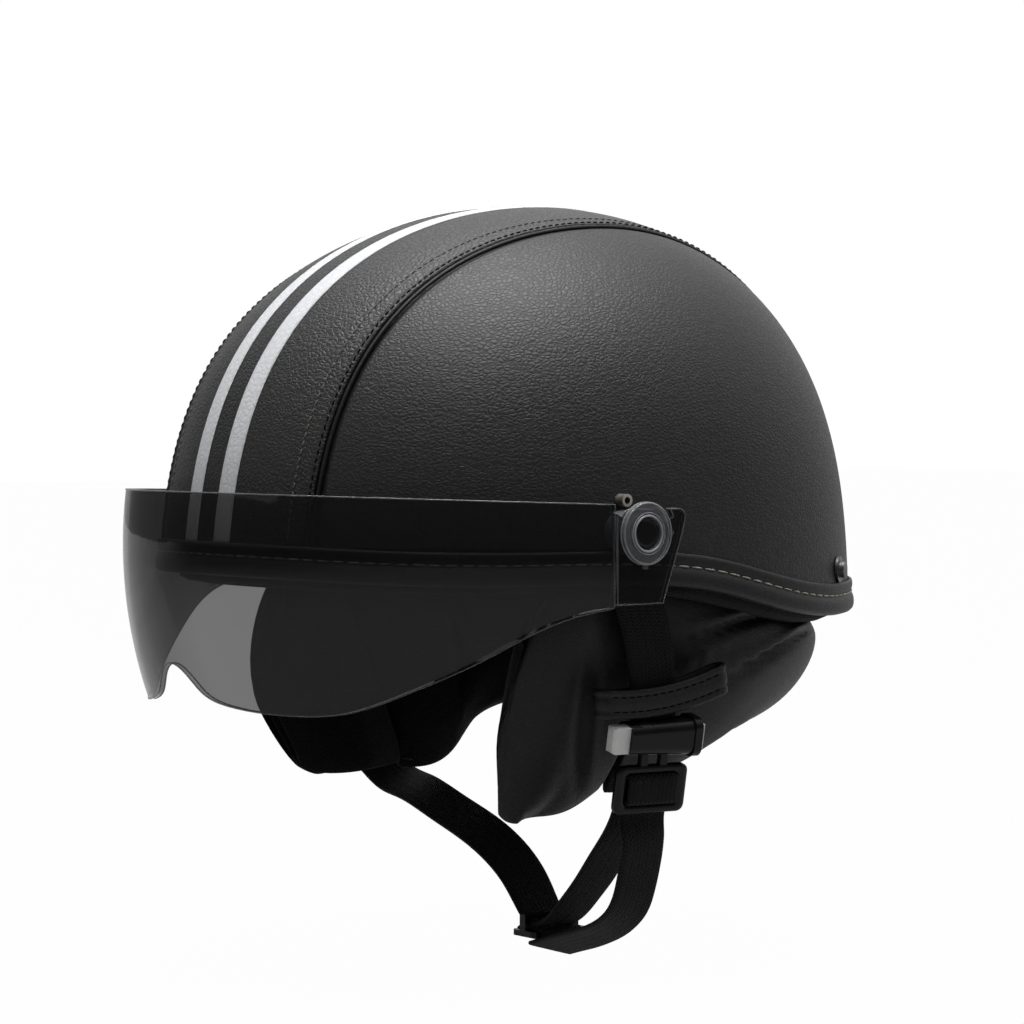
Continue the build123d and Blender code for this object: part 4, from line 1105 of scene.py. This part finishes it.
def mix_into(output, share, one, other):
    """The output's surface: one shader, and the other by a share."""
    mix = node(share.id_data, "MixShader", Fac=share)
    plug(mix.inputs[1], one.outputs[0])
    plug(mix.inputs[2], other.outputs[0])
    plug(share.id_data.nodes[output].inputs[0], mix.outputs[0])


def add_stage():
    size, low = 6.0, -0.1325
    mesh = bpy.data.meshes.new("floor")
    mesh.from_pydata([(-size, -size, low), (size, -size, low), (size, size, low), (-size, size, low)], [],
                     [(0, 1, 2, 3)])
    mat, tree, shader = look_of("floor_paint", (0.3, 0.3, 0.3), 0.9, Specular_IOR_Level=0.1)
    ground = node(tree, "TexCoord").outputs["Object"]
    away = node(tree, "VectorMath", operation="LENGTH", Vector=ground)
    # In mirror rays the floor glows white near the helmet and towards the lit end of the studio: a painted
    # pool of light on the floor.
    close = spread(away.outputs["Value"], 0.45, 0.04, 0.6, 1.8)
    room = math_of("MAXIMUM", close, room_share(ground, (-0.785, 0.619, 0.0), -0.4, 0.8, 0.5))
    seen = background_share(0.985, room)
    glow = node(tree, "Emission", Color=(1, 1, 1, 1), Strength=1.0)
    mix_into("Material Output", seen, shader, glow)
    mesh.materials.append(mat)
    linked("floor", mesh)


def room_share(vector, way, near, far, most):
    """White towards the lit end of the studio, falling off towards its darker end."""
    lit = node(vector.id_data, "VectorMath", operation="DOT_PRODUCT", Vector=vector)
    plug(lit.inputs[1], way)
    return spread(lit.outputs["Value"], 0.04, most, near, far)


def background_share(most, room):
    """How much of the white a ray sees: all of it, or for mirror rays the room's share."""
    path = node(room.id_data, "LightPath")
    total = math_of("MAXIMUM", path.outputs["Is Camera Ray"], path.outputs["Is Transmission Ray"])
    total = math_of("MAXIMUM", total, times(path.outputs["Is Glossy Ray"], room))
    return times(total, most)


def add_world():
    world = bpy.data.worlds.new("studio")
    scene.world = world
    world.use_nodes = True
    tree = world.node_tree
    fill = tree.nodes["Background"]
    feed(fill, Color=(1, 1, 1, 1), Strength=0.125)
    white = node(tree, "Background", Color=(1, 1, 1, 1), Strength=1.0)
    sky = node(tree, "TexCoord").outputs["Generated"]
    seen = background_share(1.0, room_share(sky, (-0.3, 0.5, 0.8), 0.35, 0.8, 1.0))
    mix_into("World Output", seen, fill, white)


def add_lamp(name, place, size, power):
    """Square lamp that looks at the helmet."""
    data = bpy.data.lights.new(name, "AREA")
    data.shape, data.size, data.size_y, data.energy = "RECTANGLE", size, size, power
    lamp = linked(name, data)
    lamp.location = place
    lamp.rotation_euler = (-Vector(place)).to_track_quat("-Z", "Y").to_euler()


add_world()
add_lamp("top_light", (0.1, 0.0, 1.5), 1.1, 36.5)
add_lamp("front_light", (-0.3, -1.4, 0.8), 1.2, 1.9)
add_lamp("side_light", (0.9, 1.3, 0.8), 1.0, 1.2)
add_stage()
centre_panel()
for side, tag in SIDES:
    side_panel(side, tag)
    piping(side, tag)
    stripe(side, tag)
    keeper(side, tag)
    ring_glint_rims(side, tag)
visor_edge_glints()
seam_rows()
rim_trim()
head_band()
crown_pad()
skirt()
upper_webbing()
tongue_tape("chin_tape", "chin_webbing", CHIN, CHIN_ACROSS, 260)
tongue_tape("tail_tape", "webbing_tail", TAIL, TAIL_ACROSS, 160)
ladder_frame()
wrap_tape()
slider_wrap()
button_spring()
scene.view_settings.view_transform = "Standard"
